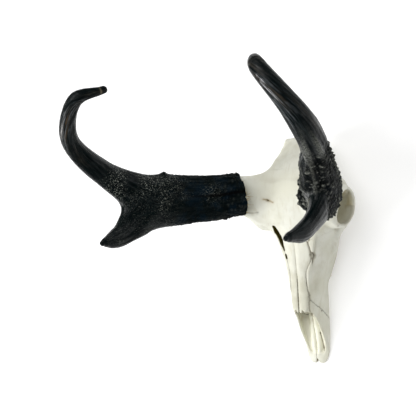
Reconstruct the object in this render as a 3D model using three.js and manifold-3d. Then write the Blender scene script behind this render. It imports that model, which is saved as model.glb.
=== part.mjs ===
// Skull of a pronghorn buck (Antilocapra americana) without its lower jaw, with both horn sheaths on.
// Millimetres. +X is the animal's left, -Y is the nose, +Z is up. The skull lies at rest on its cheek teeth and on the
// two spurs beside its neck joint, so the grinding surface of the teeth is the plane z = 0.
// The bone is described by a signed distance field (negative inside) that is put together from rounded forms; the field
// is turned into a closed triangle mesh, thinned out, and then parted along the real sutures.
import * as THREE from "three";
import { mergeVertices } from "three/addons/utils/BufferGeometryUtils.js";
import Module from "manifold-3d";

// ---------------------------------------------------------------- driving dimensions
const BACK_SHIFT = 53.34; // moves the skull back, so that the middle of its outline is over the origin
// level of the tooth crowns, nose tips and spurs that the skull rests on, and what is trimmed off below it
const FLOOR_Z = 2.5, TRIM = 0.5;
const SUTURE = 0.4; // width of the cuts between neighbouring bones and sheaths
const NOSE_Y = -196; // tips of the premaxillae
const NASAL_TIP_Y = -137; // free ends of the nasal bones
const NASAL_BACK_Y = -42; // nasal bones meet the frontals
const NASAL_THICK = 4.6;
const WALL = 4.4; // side walls of the nose
const ORBIT = { x: 59.3, y: -10, z: 61.5, ring: 21.6, tube: 3.5 }; // bony ring round the eye
const ORBIT_AXIS = new THREE.Vector3(0.975, -0.2, -0.06).normalize(); // the way the eye socket faces
const CORE_LOW = [43, 1.5, 80]; // horn core leaves the frontal
const CORE_TOP = [60, 3, 112]; // horn core runs into the sheath
const TOOTH_FRONT_Y = -88, TOOTH_BACK_Y = -18, TOOTH_ROOT_Z = 14; // cheek teeth: first, last, level of their sockets
const TOOTH_OUTER_X = [14.2, 17.2, 19.6, 21.7, 23.2, 23.8], TOOTH_HALF = [3.6, 4.2, 4.8, 5.6, 5.9, 5.6]; // outer wall, half width
const SPUR_TIP = [20.5, 47, FLOOR_Z + 2.6]; // spur (paroccipital process) that the back of the skull rests on

// Horn: centre line of the beam (left side), half length and half thickness of its section
const BEAM = [
  [49.3, 6.3, 102.6], [75.2, -4.5, 136.8], [95.0, -10.2, 172.0], [114.2, -12.3, 213.4],
  [134.2, 6.0, 268.6], [137.9, 32.1, 317.4], [114.5, 67.1, 336.9], [97.4, 84.1, 312.6],
];
const BEAM_LONG = [25.5, 27.4, 28.4, 24.3, 14.2, 10.2, 8.0, 4.2];
const BEAM_THICK = [19.5, 18.0, 14.0, 12.3, 11.4, 9.6, 7.6, 4.0];
const PRONG = [[102.3, -12.8, 186.7], [117.1, -39.2, 224.2], [117.8, -63.5, 250.7], [115.1, -75.6, 280.2]];
const PRONG_LONG = [27.5, 19.4, 10.4, 3.6];
const PRONG_THICK = [10.6, 9.7, 6.3, 3.2];
const FORK_AT = 0.43; // share of the prong's length at which it is clear of the beam
const SHEATH_START = 0.032; // share of the beam's length that is bare bone below the sheath

// Sutures: directions that the cuts face
const PREMAX_CUT = [0, -0.9, 0.436], FACE_CUT = [0, 0.85, 0.527], BRAIN_CUT = [0, 0.985, -0.174];
const NASAL_DEPTH = 8.6; // how far the nasals reach down below their own ridge

// Cross-sections of the face, from the nose back: y, then the ridge of the back, the shoulder, the cheek, the jaw edge
const FACE_Y = [-197, -190, -180, -173, -166, -159, -151, -144, -137, -130, -118, -98, -85, -61, -45, -35, -14, 12];
const RIDGE_Z = [6, 8.5, 10, 13.5, 19.5, 26.5, 34, 42, 50, 54, 57, 62.2, 65.2, 71.5, 77.5, 81.5, 89.5, 94];
const RIDGE_W = [6, 10, 13, 14.4, 15, 15.2, 15, 14.2, 13.2, 13.2, 13.8, 15.5, 17.5, 23.5, 29, 36, 47, 48];
const RIDGE_DROP = [1, 1.2, 1.2, 1.2, 1.2, 1.4, 1.8, 2.2, 2.8, 3.6, 4.4, 5, 5.5, 6.5, 6.5, 5.5, 3, 2];
const CHEEK_Z = [5, 6, 7, 9, 12, 16, 20, 24, 27, 29, 32, 36, 36, 38, 41, 46, 50, 52];
const CHEEK_W = [8, 12.6, 15.2, 16, 16.4, 16.8, 17, 17.3, 17.5, 17.8, 18.2, 19.4, 22, 28, 34, 39.5, 41, 36];
const JAW_Z = [2.6, 1.7, 2.0, 3.0, 4, 5.2, 6.4, 7.8, 9.4, 10.4, 12.2, 14, 11.5, 10.5, 10.5, 10.5, 14, 24];
const JAW_W = [7, 12.2, 15.2, 16, 16.4, 16.8, 17, 17.2, 17.3, 17.3, 17.2, 16.8, 19.4, 25.8, 28.2, 29.6, 29, 24];

// ---------------------------------------------------------------- small mathematics
const clamp = (v, a, b) => Math.min(b, Math.max(a, v));
const step = (t) => ((t = clamp(t, 0, 1)), t * t * (3 - 2 * t));
const smin = (a, b, k) => {
  const h = Math.max(k - Math.abs(a - b), 0) / k;
  return Math.min(a, b) - h * h * k * 0.25;
};
const smax = (a, b, k) => -smin(-a, -b, k);
// smooth curve through a table of values
function table(xs, ys) {
  const n = xs.length, m = [];
  for (let i = 0; i < n; i++) {
    const a = Math.max(i - 1, 0), b = Math.min(i + 1, n - 1);
    m.push((ys[b] - ys[a]) / (xs[b] - xs[a]));
  }
  return (x) => {
    if (x <= xs[0]) return ys[0];
    if (x >= xs[n - 1]) return ys[n - 1];
    let i = 0;
    while (x > xs[i + 1]) i++;
    const h = xs[i + 1] - xs[i], t = (x - xs[i]) / h, t2 = t * t, t3 = t2 * t;
    return ys[i] * (2 * t3 - 3 * t2 + 1) + m[i] * h * (t3 - 2 * t2 + t) + ys[i + 1] * (3 * t2 - 2 * t3) + m[i + 1] * h * (t3 - t2);
  };
}
const ridgeZ = table(FACE_Y, RIDGE_Z), ridgeW = table(FACE_Y, RIDGE_W), ridgeDrop = table(FACE_Y, RIDGE_DROP);
const cheekZ = table(FACE_Y, CHEEK_Z), cheekW = table(FACE_Y, CHEEK_W), jawZ = table(FACE_Y, JAW_Z), jawW = table(FACE_Y, JAW_W);
const backLine = table([-145, -137, -118, -98, -61, -35, -14, 12], [54.5, 56, 59.6, 63, 71.8, 81.5, 89.5, 94]); // upper edge of the nasals

// ---------------------------------------------------------------- rounded forms
function egg(x, y, z, c, r, tilt = 0) {
  let px = x - c[0], py = y - c[1], pz = z - c[2];
  if (tilt) {
    const s = Math.sin(tilt), q = Math.cos(tilt);
    [py, pz] = [q * py - s * pz, s * py + q * pz];
  }
  const k0 = Math.hypot(px / r[0], py / r[1], pz / r[2]);
  const k1 = Math.hypot(px / (r[0] * r[0]), py / (r[1] * r[1]), pz / (r[2] * r[2]));
  return k1 < 1e-9 ? -Math.min(...r) : (k0 * (k0 - 1)) / k1;
}
// rods through points [x, y, z, radius]; flat squeezes them sideways
function rods(x, y, z, pts, k = 3, flat = 1) {
  let d = 1e9;
  for (let i = 0; i + 1 < pts.length; i++) {
    const a = pts[i], b = pts[i + 1];
    const bx = (b[0] - a[0]) * flat, by = b[1] - a[1], bz = b[2] - a[2];
    const px = (x - a[0]) * flat, py = y - a[1], pz = z - a[2];
    const t = clamp((px * bx + py * by + pz * bz) / (bx * bx + by * by + bz * bz), 0, 1);
    const e = Math.hypot(px - t * bx, py - t * by, pz - t * bz) - (a[3] + t * (b[3] - a[3]));
    d = i ? smin(d, e, k) : e;
  }
  return d;
}

// ---------------------------------------------------------------- the bone
// half width of the face at a level: jaw edge, cheek, shoulder of the back
function sideWidth(y, z) {
  const zs = ridgeZ(y) - ridgeDrop(y), zc = cheekZ(y), wc = cheekW(y), zj = jawZ(y), wj = jawW(y);
  return z < zc ? wj + (wc - wj) * step((z - zj) / Math.max(zc - zj, 0.5)) : wc + (ridgeW(y) - wc) * step((z - zc) / Math.max(zs - zc, 0.5));
}
function face(x, y, z) {
  const zt = ridgeZ(y), w = ridgeW(y);
  const top = zt - ridgeDrop(y) * Math.min((x / w) * (x / w), 2.2);
  let d = smax((x - sideWidth(y, z)) * 0.9, (z - top) * 0.93, clamp(zt * 0.1, 1.5, 7));
  d = smax(d, jawZ(y) - z, 4);
  return smax(d, smax(NOSE_Y - y + 0.03 * (x - 7) * (x - 7) + 2.2 * Math.max(0, 2.2 - x), y - 14, 3), 3);
}
// nose opening: a trough between the premaxillae that runs back under the nasals
function noseHollow(x, y, z) {
  const floor = jawZ(y) + 4.4 + 0.25 * Math.max(-182 - y, 0);
  const d = smax(x - sideWidth(y, z) + WALL, floor - z, 5);
  const roof = y > NASAL_TIP_Y - 2 ? backLine(y) - NASAL_THICK - 0.02 * x * x : 200;
  return smax(smax(d, z - roof, 3), smax(-184 - y, y + 104, 6), 6);
}
function nasals(x, y, z) {
  const w = ridgeW(y) - 1.2 - 3.2 * step((-118 - y) / 19);
  const top = backLine(y) + 0.5 - ridgeDrop(y) * Math.min((x / w) * (x / w), 1.6) * 0.82;
  const tip = NASAL_TIP_Y + 6.5 * Math.abs((Math.abs(x - 5.6) - 3) / 5.6) * 0.8 + 1.2 * Math.max(0, 2 - x);
  let d = smax(z - top, top - NASAL_THICK - z, 2.2);
  d = smax(d, x - w, 2.5);
  return smax(d, Math.max(tip - y, y + 30), 2.0);
}
function orbitRing(x, y, z) {
  const px = x - ORBIT.x, py = y - ORBIT.y, pz = z - ORBIT.z;
  const h = px * ORBIT_AXIS.x + py * ORBIT_AXIS.y + pz * ORBIT_AXIS.z;
  const q = Math.sqrt(Math.max(px * px + py * py + pz * pz - h * h, 0)) - ORBIT.ring;
  // the ring is a band: longer along the socket's axis than across it
  return Math.hypot(q, h > 0 ? h : h * 0.62) - ORBIT.tube;
}
function orbitHollow(x, y, z) {
  const px = x - ORBIT.x, py = y - ORBIT.y, pz = z - ORBIT.z;
  const h = px * ORBIT_AXIS.x + py * ORBIT_AXIS.y + pz * ORBIT_AXIS.z;
  const q = Math.sqrt(Math.max(px * px + py * py + pz * pz - h * h, 0));
  const r = (ORBIT.ring - ORBIT.tube + 0.6) * (h > -12 ? 1 : Math.sqrt(Math.max(0, 1 - ((h + 12) / 26) ** 2)));
  return h < -38 ? 9 : Math.max(q - r, -38 - h, h - 30) * 0.9;
}
const CORE_LINE = [CORE_LOW, CORE_TOP];
function core(x, y, z) {
  return flatBeam(x, y, z, CORE_LINE, [27, 23.4], [15.5, 11.4]);
}
function tooth(x, y, z) {
  const n = TOOTH_OUTER_X.length, len = (TOOTH_BACK_Y - TOOTH_FRONT_Y) / n;
  let d = 1e9;
  for (let i = 0; i < n; i++) {
    const yc = TOOTH_FRONT_Y + len * (i + 0.5), half = TOOTH_HALF[i], xc = TOOTH_OUTER_X[i] - half + 0.12 * (z - FLOOR_Z);
    const qx = Math.abs(x - xc) - half + 1.6, qy = Math.abs(y - yc) - len * 0.49 + 1.6;
    const e = Math.hypot(Math.max(qx, 0), Math.max(qy, 0)) - 1.6 + Math.min(Math.max(qx, qy), 0);
    d = Math.min(d, Math.max(e, z - TOOTH_ROOT_Z, FLOOR_Z - TRIM - z));
  }
  return d;
}
const hollowSlit = [[27, -36, 80, 1.9], [22.6, -46, 77.4, 1.8], [20, -56, 73.6, 1.5], [19.4, -63, 70, 1.0]];
const jugal = [[57, 2, 40, 4.4], [53.5, -14, 41, 5], [46, -27, 42, 6], [34.5, -42, 35, 4.6], [28.5, -56, 28, 4]];
const arch = [[57.5, -4, 40, 4.6], [57, 8, 43, 4.3], [52.5, 21, 49, 4.1], [45, 33, 54, 4.4], [36, 41, 55, 6]];
const nape = [[0, 76, 65, 4.2], [16.5, 74.5, 65, 4.2], [27, 66, 55, 4.5], [27, 59, 45, 5]];

function bone(X, y, z) {
  const x = Math.abs(X);
  let d = face(x, y, z);
  d = smax(d, -noseHollow(x, y, z), 2.5);
  d = smin(d, nasals(x, y, z), 1.6);
  // ploughshare bone and palatine processes: a low ridge along the floor of the nose, with a slot on each side
  d = smin(d, rods(x, y, z, [[2.2, -183, 6.5, 2.6], [2.0, -163, 12, 2.7], [1.2, -140, 21, 3]], 2), 2);
  d = smax(d, -Math.max(rods(x, y, 0, [[6.8, -180, 0, 1.5], [8, -163, 0, 1.9], [7.5, -149, 0, 1.5]], 1), z - jawZ(y) - 9), 1);
  // forehead, eye-socket roof and the walls between the sockets
  let s = egg(x, y, z, [0, -2, 70], [34, 44, 25]);
  s = smin(s, egg(x, y, z, [30, -4, 84], [32, 23.5, 8.5]), 12);
  s = smin(s, egg(x, y, z, [0, 38, 58], [33.6, 43, 34.5], 0.36), 12); // braincase
  s = smin(s, egg(x, y, z, [0, 62, 44], [31, 18, 24]), 8); // back of the head
  s = smin(s, rods(x, y, z, nape, 4), 6);
  d = smin(d, s, 9);
  d = smin(d, smax(egg(x, y, z, [45.5, -10.5, 58.5], [20, 24.5, 24]), y - 9, 4), 4); // shell of the socket, open behind
  d = smax(d, -orbitHollow(x, y, z), 3.5);
  d = smin(d, orbitRing(x, y, z), 4.5);
  d = smin(d, core(x, y, z), 17);
  d = smax(d, -egg(x, y, z, [46.5, -9.5, 61], [24, 19, 19]), 3);
  d = smin(d, rods(x, y, z, jugal, 4), 5);
  d = smin(d, rods(x, y, z, arch, 4, 1.45), 4);
  // underside
  d = smin(d, rods(x, y, z, [[0, 76, 24, 9], [0, 48, 24, 10.5], [0, 14, 30, 12], [0, -18, 38, 12]], 5), 5);
  d = smin(d, egg(x, y, z, [19, 37, 17], [8.6, 13, 12]), 3.5); // ear bulb
  d = smin(d, rods(x, y, z, [[22, 38, 32, 8], [36, 45, 43, 5]], 3), 4); // ear canal
  d = smin(d, egg(x, y, z, [38, 33, 49], [10, 9, 6]), 4); // jaw joint
  d = smin(d, rods(x, y, z, [[23, 59, 42, 7], [22, 53, 22, 4.7], SPUR_TIP.concat(3)], 4), 5);
  d = smin(d, egg(x, y, z, [10.5, 78, 30], [7.6, 8, 9.8]), 3.5); // neck joint
  d = smin(d, rods(x, y, z, [[12, -22, 14.5, 3], [11, 0, 17, 2.8], [10.5, 16, 24, 3]], 3), 3); // pterygoids
  d = smax(d, -egg(x, y, z, [0, 88, 40], [8.6, 16, 8.4]), 2.5); // spinal canal
  d = smax(d, -egg(x, y, z, [0, -52, 6], [15.5, 60, 9.5]), 4); // hollow of the palate
  d = smax(d, -rods(x, y, z, [[0, -18, 20, 7], [0, 8, 20, 6.5]], 3), 3); // back of the nose
  d = smin(d, tooth(x, y, z), 1.2);
  d = smax(d, -rods(x, y, z, hollowSlit, 1), 1);
  return Math.max(d, FLOOR_Z - TRIM - z);
}

// ---------------------------------------------------------------- horns
// Distance to a beam with an oval section: the section is long fore and aft at the root, and round further up.
const sampled = new Map();
function flatBeam(x, y, z, pts, long, thick, foreAft = [0, -1, 0]) {
  let path = sampled.get(pts);
  if (!path) {
    const curve = new THREE.CatmullRomCurve3(pts.map((p) => new THREE.Vector3(...p)), false, "catmullrom", 0.5);
    const n = pts.length === 2 ? 2 : 9 * (pts.length - 1) + 1, ref = new THREE.Vector3(...foreAft);
    path = [];
    for (let i = 0; i < n; i++) {
      const u = i / (n - 1), f = u * (pts.length - 1), j = Math.min(Math.floor(f), pts.length - 2);
      const t = curve.getTangent(u), a = ref.clone().addScaledVector(t, -t.dot(ref)).normalize();
      const mix = (v) => v[j] + (v[j + 1] - v[j]) * step(f - j) * 0.4 + (v[j + 1] - v[j]) * (f - j) * 0.6;
      path.push({ p: curve.getPoint(u), a, long: mix(long), thick: mix(thick) });
    }
    sampled.set(pts, path);
  }
  let best = 1e9, out = 1e9;
  for (let i = 0; i + 1 < path.length; i++) {
    const A = path[i], B = path[i + 1];
    const bx = B.p.x - A.p.x, by = B.p.y - A.p.y, bz = B.p.z - A.p.z;
    const px = x - A.p.x, py = y - A.p.y, pz = z - A.p.z;
    const t = clamp((px * bx + py * by + pz * bz) / (bx * bx + by * by + bz * bz), 0, 1);
    const qx = px - t * bx, qy = py - t * by, qz = pz - t * bz, far = qx * qx + qy * qy + qz * qz;
    if (far < best) {
      best = far;
      const ax = A.a.x + t * (B.a.x - A.a.x), ay = A.a.y + t * (B.a.y - A.a.y), az = A.a.z + t * (B.a.z - A.a.z);
      const L = A.long + t * (B.long - A.long), T = A.thick + t * (B.thick - A.thick);
      const m = qx * ax + qy * ay + qz * az, r = Math.sqrt(Math.max(far - m * m, 0));
      const k = Math.hypot(m / L, r / T), k1 = Math.hypot(m / (L * L), r / (T * T));
      out = k1 < 1e-9 ? -T : (k * (k - 1)) / k1;
    }
  }
  return out;
}
const horn = (x, y, z) =>
  smin(flatBeam(x, y, z, BEAM, BEAM_LONG, BEAM_THICK), flatBeam(x, y, z, PRONG, PRONG_LONG, PRONG_THICK, [0.35, 0.5, 0.8]), 14);

// ---------------------------------------------------------------- from field to mesh
// Marching tetrahedra: every cell is cut into six tetrahedra, so the surface is always closed.
function meshField(field, lo, hi, h) {
  const n = [0, 1, 2].map((i) => Math.ceil((hi[i] - lo[i]) / h) + 1), at = (i, j, k) => (k * n[1] + j) * n[0] + i;
  const val = new Float64Array(n[0] * n[1] * n[2]);
  for (let k = 0; k < n[2]; k++)
    for (let j = 0; j < n[1]; j++)
      for (let i = 0; i < n[0]; i++) {
        const edge = !i || !j || !k || i === n[0] - 1 || j === n[1] - 1 || k === n[2] - 1;
        let v = edge ? h : field(lo[0] + i * h, lo[1] + j * h, lo[2] + k * h);
        if (Math.abs(v) < 0.02 * h) v = v < 0 ? -0.02 * h : 0.02 * h;
        val[at(i, j, k)] = v;
      }
  const pos = [], tri = [], made = new Map();
  const place = (c) => [lo[0] + (c % n[0]) * h, lo[1] + (Math.floor(c / n[0]) % n[1]) * h, lo[2] + Math.floor(c / (n[0] * n[1])) * h];
  const cut = (a, b) => {
    if (a > b) [a, b] = [b, a];
    const key = a * val.length + b;
    let v = made.get(key);
    if (v === undefined) {
      const t = val[a] / (val[a] - val[b]), p = place(a), q = place(b);
      v = pos.length / 3;
      pos.push(p[0] + t * (q[0] - p[0]), p[1] + t * (q[1] - p[1]), p[2] + t * (q[2] - p[2]));
      made.set(key, v);
    }
    return v;
  };
  const ways = [[0, 1, 3, 7], [0, 3, 2, 7], [0, 2, 6, 7], [0, 6, 4, 7], [0, 4, 5, 7], [0, 5, 1, 7]];
  for (let k = 0; k < n[2] - 1; k++)
    for (let j = 0; j < n[1] - 1; j++)
      for (let i = 0; i < n[0] - 1; i++) {
        const c = [];
        let neg = 0;
        for (let b = 0; b < 8; b++) {
          c.push(at(i + (b & 1), j + ((b >> 1) & 1), k + (b >> 2)));
          if (val[c[b]] < 0) neg++;
        }
        if (!neg || neg === 8) continue;
        for (const w of ways) {
          const t = w.map((b) => c[b]), inn = t.filter((q) => val[q] < 0), out = t.filter((q) => val[q] >= 0);
          if (!inn.length || !out.length) continue;
          // a point inside tells which way the faces look
          const faces = [];
          if (inn.length === 1) faces.push([cut(inn[0], out[0]), cut(inn[0], out[1]), cut(inn[0], out[2])]);
          else if (inn.length === 3) faces.push([cut(inn[0], out[0]), cut(inn[1], out[0]), cut(inn[2], out[0])]);
          else {
            const q = [cut(inn[0], out[0]), cut(inn[0], out[1]), cut(inn[1], out[1]), cut(inn[1], out[0])];
            faces.push([q[0], q[1], q[2]], [q[0], q[2], q[3]]);
          }
          const ip = place(inn[0]);
          for (const f of faces) {
            const [a, b, e] = f.map((v) => [pos[3 * v], pos[3 * v + 1], pos[3 * v + 2]]);
            const u = [b[0] - a[0], b[1] - a[1], b[2] - a[2]], v = [e[0] - a[0], e[1] - a[1], e[2] - a[2]];
            const nx = u[1] * v[2] - u[2] * v[1], ny = u[2] * v[0] - u[0] * v[2], nz = u[0] * v[1] - u[1] * v[0];
            const side = nx * (ip[0] - a[0]) + ny * (ip[1] - a[1]) + nz * (ip[2] - a[2]);
            tri.push(...(side < 0 ? f : [f[0], f[2], f[1]]));
          }
        }
      }
  return { pos, tri };
}

// Thins the mesh out by edge collapse with quadric errors, and keeps it closed.
function thin({ pos, tri }, target) {
  const nv = pos.length / 3, P = Float64Array.from(pos), Q = new Float64Array(nv * 10);
  const F = [], around = Array.from({ length: nv }, () => new Set());
  for (let i = 0; i < tri.length; i += 3) F.push([tri[i], tri[i + 1], tri[i + 2]]);
  const normal = (a, b, c) => {
    const ux = P[3 * b] - P[3 * a], uy = P[3 * b + 1] - P[3 * a + 1], uz = P[3 * b + 2] - P[3 * a + 2];
    const vx = P[3 * c] - P[3 * a], vy = P[3 * c + 1] - P[3 * a + 1], vz = P[3 * c + 2] - P[3 * a + 2];
    return [uy * vz - uz * vy, uz * vx - ux * vz, ux * vy - uy * vx];
  };
  F.forEach((f, i) => {
    f.forEach((v) => around[v].add(i));
    const m = normal(...f), l = Math.hypot(...m);
    if (l < 1e-12) return;
    const [a, b, c] = m.map((v) => v / l), d = -(a * P[3 * f[0]] + b * P[3 * f[0] + 1] + c * P[3 * f[0] + 2]), w = l;
    const q = [a * a, a * b, a * c, a * d, b * b, b * c, b * d, c * c, c * d, d * d];
    f.forEach((v) => q.forEach((e, j) => (Q[10 * v + j] += e * w)));
  });
  const err = (q, x, y, z) => q[0] * x * x + 2 * q[1] * x * y + 2 * q[2] * x * z + 2 * q[3] * x + q[4] * y * y + 2 * q[5] * y * z + 2 * q[6] * y + q[7] * z * z + 2 * q[8] * z + q[9];
  const plan = (u, v) => {
    const q = [];
    for (let j = 0; j < 10; j++) q.push(Q[10 * u + j] + Q[10 * v + j]);
    const e = 1e-3 * (q[0] + q[4] + q[7]), mx = (P[3 * u] + P[3 * v]) / 2, my = (P[3 * u + 1] + P[3 * v + 1]) / 2, mz = (P[3 * u + 2] + P[3 * v + 2]) / 2;
    const A = new THREE.Matrix3().set(q[0] + e, q[1], q[2], q[1], q[4] + e, q[5], q[2], q[5], q[7] + e);
    const b = new THREE.Vector3(-q[3] + e * mx, -q[6] + e * my, -q[8] + e * mz);
    let p = [mx, my, mz];
    if (Math.abs(A.determinant()) > 1e-12) p = b.applyMatrix3(A.invert()).toArray();
    const far = Math.hypot(p[0] - mx, p[1] - my, p[2] - mz), len = Math.hypot(P[3 * u] - P[3 * v], P[3 * u + 1] - P[3 * v + 1], P[3 * u + 2] - P[3 * v + 2]);
    if (far > 1.5 * len) p = [mx, my, mz];
    return { p, cost: Math.max(err(q, ...p), 0) + 1e-6 * len * len };
  };
  const heap = [], age = new Uint32Array(nv);
  const up = (i) => { while (i) { const j = (i - 1) >> 1; if (heap[j].cost <= heap[i].cost) break; [heap[i], heap[j]] = [heap[j], heap[i]]; i = j; } };
  const pop = () => {
    const top = heap[0], last = heap.pop();
    if (heap.length) {
      heap[0] = last;
      for (let i = 0; ; ) { let j = 2 * i + 1; if (j >= heap.length) break; if (j + 1 < heap.length && heap[j + 1].cost < heap[j].cost) j++; if (heap[i].cost <= heap[j].cost) break; [heap[i], heap[j]] = [heap[j], heap[i]]; i = j; }
    }
    return top;
  };
  const push = (u, v) => { const q = plan(u, v); heap.push({ u, v, p: q.p, cost: q.cost, s: age[u] + age[v] }); up(heap.length - 1); };
  const near = (v) => { const s = new Set(); around[v].forEach((f) => F[f].forEach((w) => w !== v && s.add(w))); return s; };
  F.forEach((f) => [[0, 1], [1, 2], [2, 0]].forEach(([a, b]) => f[a] < f[b] && push(f[a], f[b])));
  let left = F.length;
  while (left > target && heap.length) {
    const { u, v, p, s } = pop();
    if (s !== age[u] + age[v] || !around[u].size || !around[v].size) continue;
    const nu = near(u), nw = near(v);
    let common = 0;
    nu.forEach((w) => nw.has(w) && common++);
    if (!nu.has(v) || common !== 2) continue;
    let bad = false;
    for (const w of [u, v]) for (const f of around[w]) {
      if (bad || (F[f].includes(u) && F[f].includes(v))) continue;
      const before = normal(...F[f]), keep = [P[3 * w], P[3 * w + 1], P[3 * w + 2]];
      P.set(p, 3 * w);
      const after = normal(...F[f]);
      P.set(keep, 3 * w);
      const dot = before[0] * after[0] + before[1] * after[1] + before[2] * after[2], la = Math.hypot(...after);
      const e2 = Math.max(...[0, 1, 2].map((i) => { const a = F[f][i] === w ? p : [P[3 * F[f][i]], P[3 * F[f][i] + 1], P[3 * F[f][i] + 2]], g = F[f][(i + 1) % 3], b = g === w ? p : [P[3 * g], P[3 * g + 1], P[3 * g + 2]]; return (a[0] - b[0]) ** 2 + (a[1] - b[1]) ** 2 + (a[2] - b[2]) ** 2; }));
      if (dot < 0.25 * Math.hypot(...before) * la || la < 0.03 * e2) bad = true;
    }
    if (bad) continue;
    P.set(p, 3 * u);
    for (let j = 0; j < 10; j++) Q[10 * u + j] += Q[10 * v + j];
    for (const f of [...around[v]]) {
      if (F[f].includes(u)) { F[f].forEach((w) => around[w].delete(f)); F[f] = null; left--; }
      else { F[f][F[f].indexOf(v)] = u; around[u].add(f); }
    }
    around[v].clear();
    age[u]++;
    near(u).forEach((w) => { age[w]++; });
    near(u).forEach((w) => near(w).forEach((t) => push(Math.min(w, t), Math.max(w, t))));
  }
  const used = new Map(), outP = [], outT = [];
  F.forEach((f) => f && f.forEach((v) => { if (!used.has(v)) { used.set(v, outP.length / 3); outP.push(P[3 * v], P[3 * v + 1], P[3 * v + 2]); } outT.push(used.get(v)); }));
  return { pos: outP, tri: outT };
}

// ---------------------------------------------------------------- solids
const wasm = await Module();
wasm.setup();
const solid = ({ pos, tri }) => new wasm.Manifold(new wasm.Mesh({ numProp: 3, vertProperties: Float32Array.from(pos), triVerts: Uint32Array.from(tri) }));
function solidOf(geometry) {
  const g = geometry.clone();
  ["normal", "uv"].forEach((a) => g.deleteAttribute(a));
  const m = mergeVertices(g, 1e-4);
  return new wasm.Manifold(new wasm.Mesh({ numProp: 3, vertProperties: Float32Array.from(m.attributes.position.array), triVerts: Uint32Array.from(m.index.array) }));
}
function geometryOf(s) {
  const m = s.getMesh(), g = new THREE.BufferGeometry();
  g.setAttribute("position", new THREE.BufferAttribute(Float32Array.from(m.vertProperties), 3));
  g.setIndex(new THREE.BufferAttribute(Uint32Array.from(m.triVerts), 1));
  g.computeVertexNormals();
  return g;
}
// a large slab on the side of a plane that its normal points to
function half(point, normal, thickness = 400) {
  const g = new THREE.BoxGeometry(600, 600, thickness).translate(0, 0, thickness / 2);
  g.applyQuaternion(new THREE.Quaternion().setFromUnitVectors(new THREE.Vector3(0, 0, 1), new THREE.Vector3(...normal).normalize()));
  return solidOf(g.translate(...point));
}
const biggest = (s) => s.decompose().sort((a, b) => b.volume() - a.volume())[0];

const skull = biggest(solid(thin(meshField(bone, [-76.5, -204, -3], [76.5, 99, 123], 3), 4480)));
const sheathWhole = biggest(solid(thin(meshField(horn, [24, -100, 76], [165, 118, 362], 3.6), 1250)));

// the sheath starts above the root of the horn core
const beamCurve = new THREE.CatmullRomCurve3(BEAM.map((p) => new THREE.Vector3(...p)), false, "catmullrom", 0.5);
const rootPoint = beamCurve.getPoint(SHEATH_START), rootDir = beamCurve.getTangent(SHEATH_START);
const rootCut = half(rootPoint.toArray(), rootDir.toArray());
const coreCut = half(rootPoint.clone().addScaledVector(rootDir, -SUTURE).toArray(), rootDir.toArray());
const sheath = biggest(sheathWhole.intersect(rootCut));
// the prong leaves the beam at the fork
const prongCurve = new THREE.CatmullRomCurve3(PRONG.map((p) => new THREE.Vector3(...p)), false, "catmullrom", 0.5);
const forkPoint = prongCurve.getPoint(FORK_AT), forkDir = prongCurve.getTangent(FORK_AT);
const forkCut = solidOf(
  new THREE.BoxGeometry(58, 58, SUTURE).applyQuaternion(new THREE.Quaternion().setFromUnitVectors(new THREE.Vector3(0, 0, 1), forkDir)).translate(...forkPoint.toArray()),
);
const [beam, prong] = sheath.subtract(forkCut).decompose().sort((a, b) => b.volume() - a.volume());

// bones, parted along their sutures
const mirrorX = (s) => s.mirror([1, 0, 0]);
const g2 = SUTURE / 2;
const right = half([-g2, 0, 0], [-1, 0, 0]), left = half([g2, 0, 0], [1, 0, 0]);
const bones = biggest(skull.intersect(half([0, 0, FLOOR_Z], [0, 0, 1])).subtract(coreCut).subtract(mirrorX(coreCut)));
// room taken by the pair of nasal bones: it narrows to a blunt wedge at the forehead
function nasalRoom(grow) {
  const ys = [NASAL_TIP_Y - 8, -128, -118, -98, -85, -70, -56, NASAL_BACK_Y], ws = [11, 11, 12, 12.6, 13.2, 13.6, 11, 5];
  const pos = [], idx = [];
  ys.forEach((y, i) => {
    const w = ws[i] + grow, lo = backLine(y) - NASAL_DEPTH - grow, yy = i === ys.length - 1 ? y + grow : y;
    pos.push(-w, yy, lo, w, yy, lo, w, yy, 130, -w, yy, 130);
    if (i) for (let k = 0; k < 4; k++) {
      const a = 4 * (i - 1) + k, b = 4 * (i - 1) + ((k + 1) % 4);
      idx.push(a, a + 4, b, b, a + 4, b + 4);
    }
  });
  const e = 4 * (ys.length - 1);
  idx.push(0, 1, 2, 0, 2, 3, e, e + 2, e + 1, e, e + 3, e + 2);
  let s = solid({ pos, tri: idx });
  return s;
}
const nasalPair = bones.intersect(nasalRoom(-g2)), rest = bones.subtract(nasalRoom(g2));
// premaxillae in front of a slanting suture, maxillae in the middle, forehead and braincase behind
const front = (gap) => half([0, -130 + (gap * PREMAX_CUT[1]) / 2, 33 + (gap * PREMAX_CUT[2]) / 2], PREMAX_CUT);
const back = (gap) => half([0, -52 + (gap * FACE_CUT[1]) / 2, 76 + (gap * FACE_CUT[2]) / 2], FACE_CUT);
const rear = (gap) => half([0, 31 + (gap * BRAIN_CUT[1]) / 2, 80 + (gap * BRAIN_CUT[2]) / 2], BRAIN_CUT);
const premaxPair = rest.intersect(front(SUTURE)), behind = rest.subtract(front(-SUTURE));
const cranium = behind.intersect(back(SUTURE)), maxPair = behind.subtract(back(-SUTURE));
const braincase = biggest(cranium.intersect(rear(SUTURE))), frontal = biggest(cranium.subtract(rear(-SUTURE)));

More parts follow.
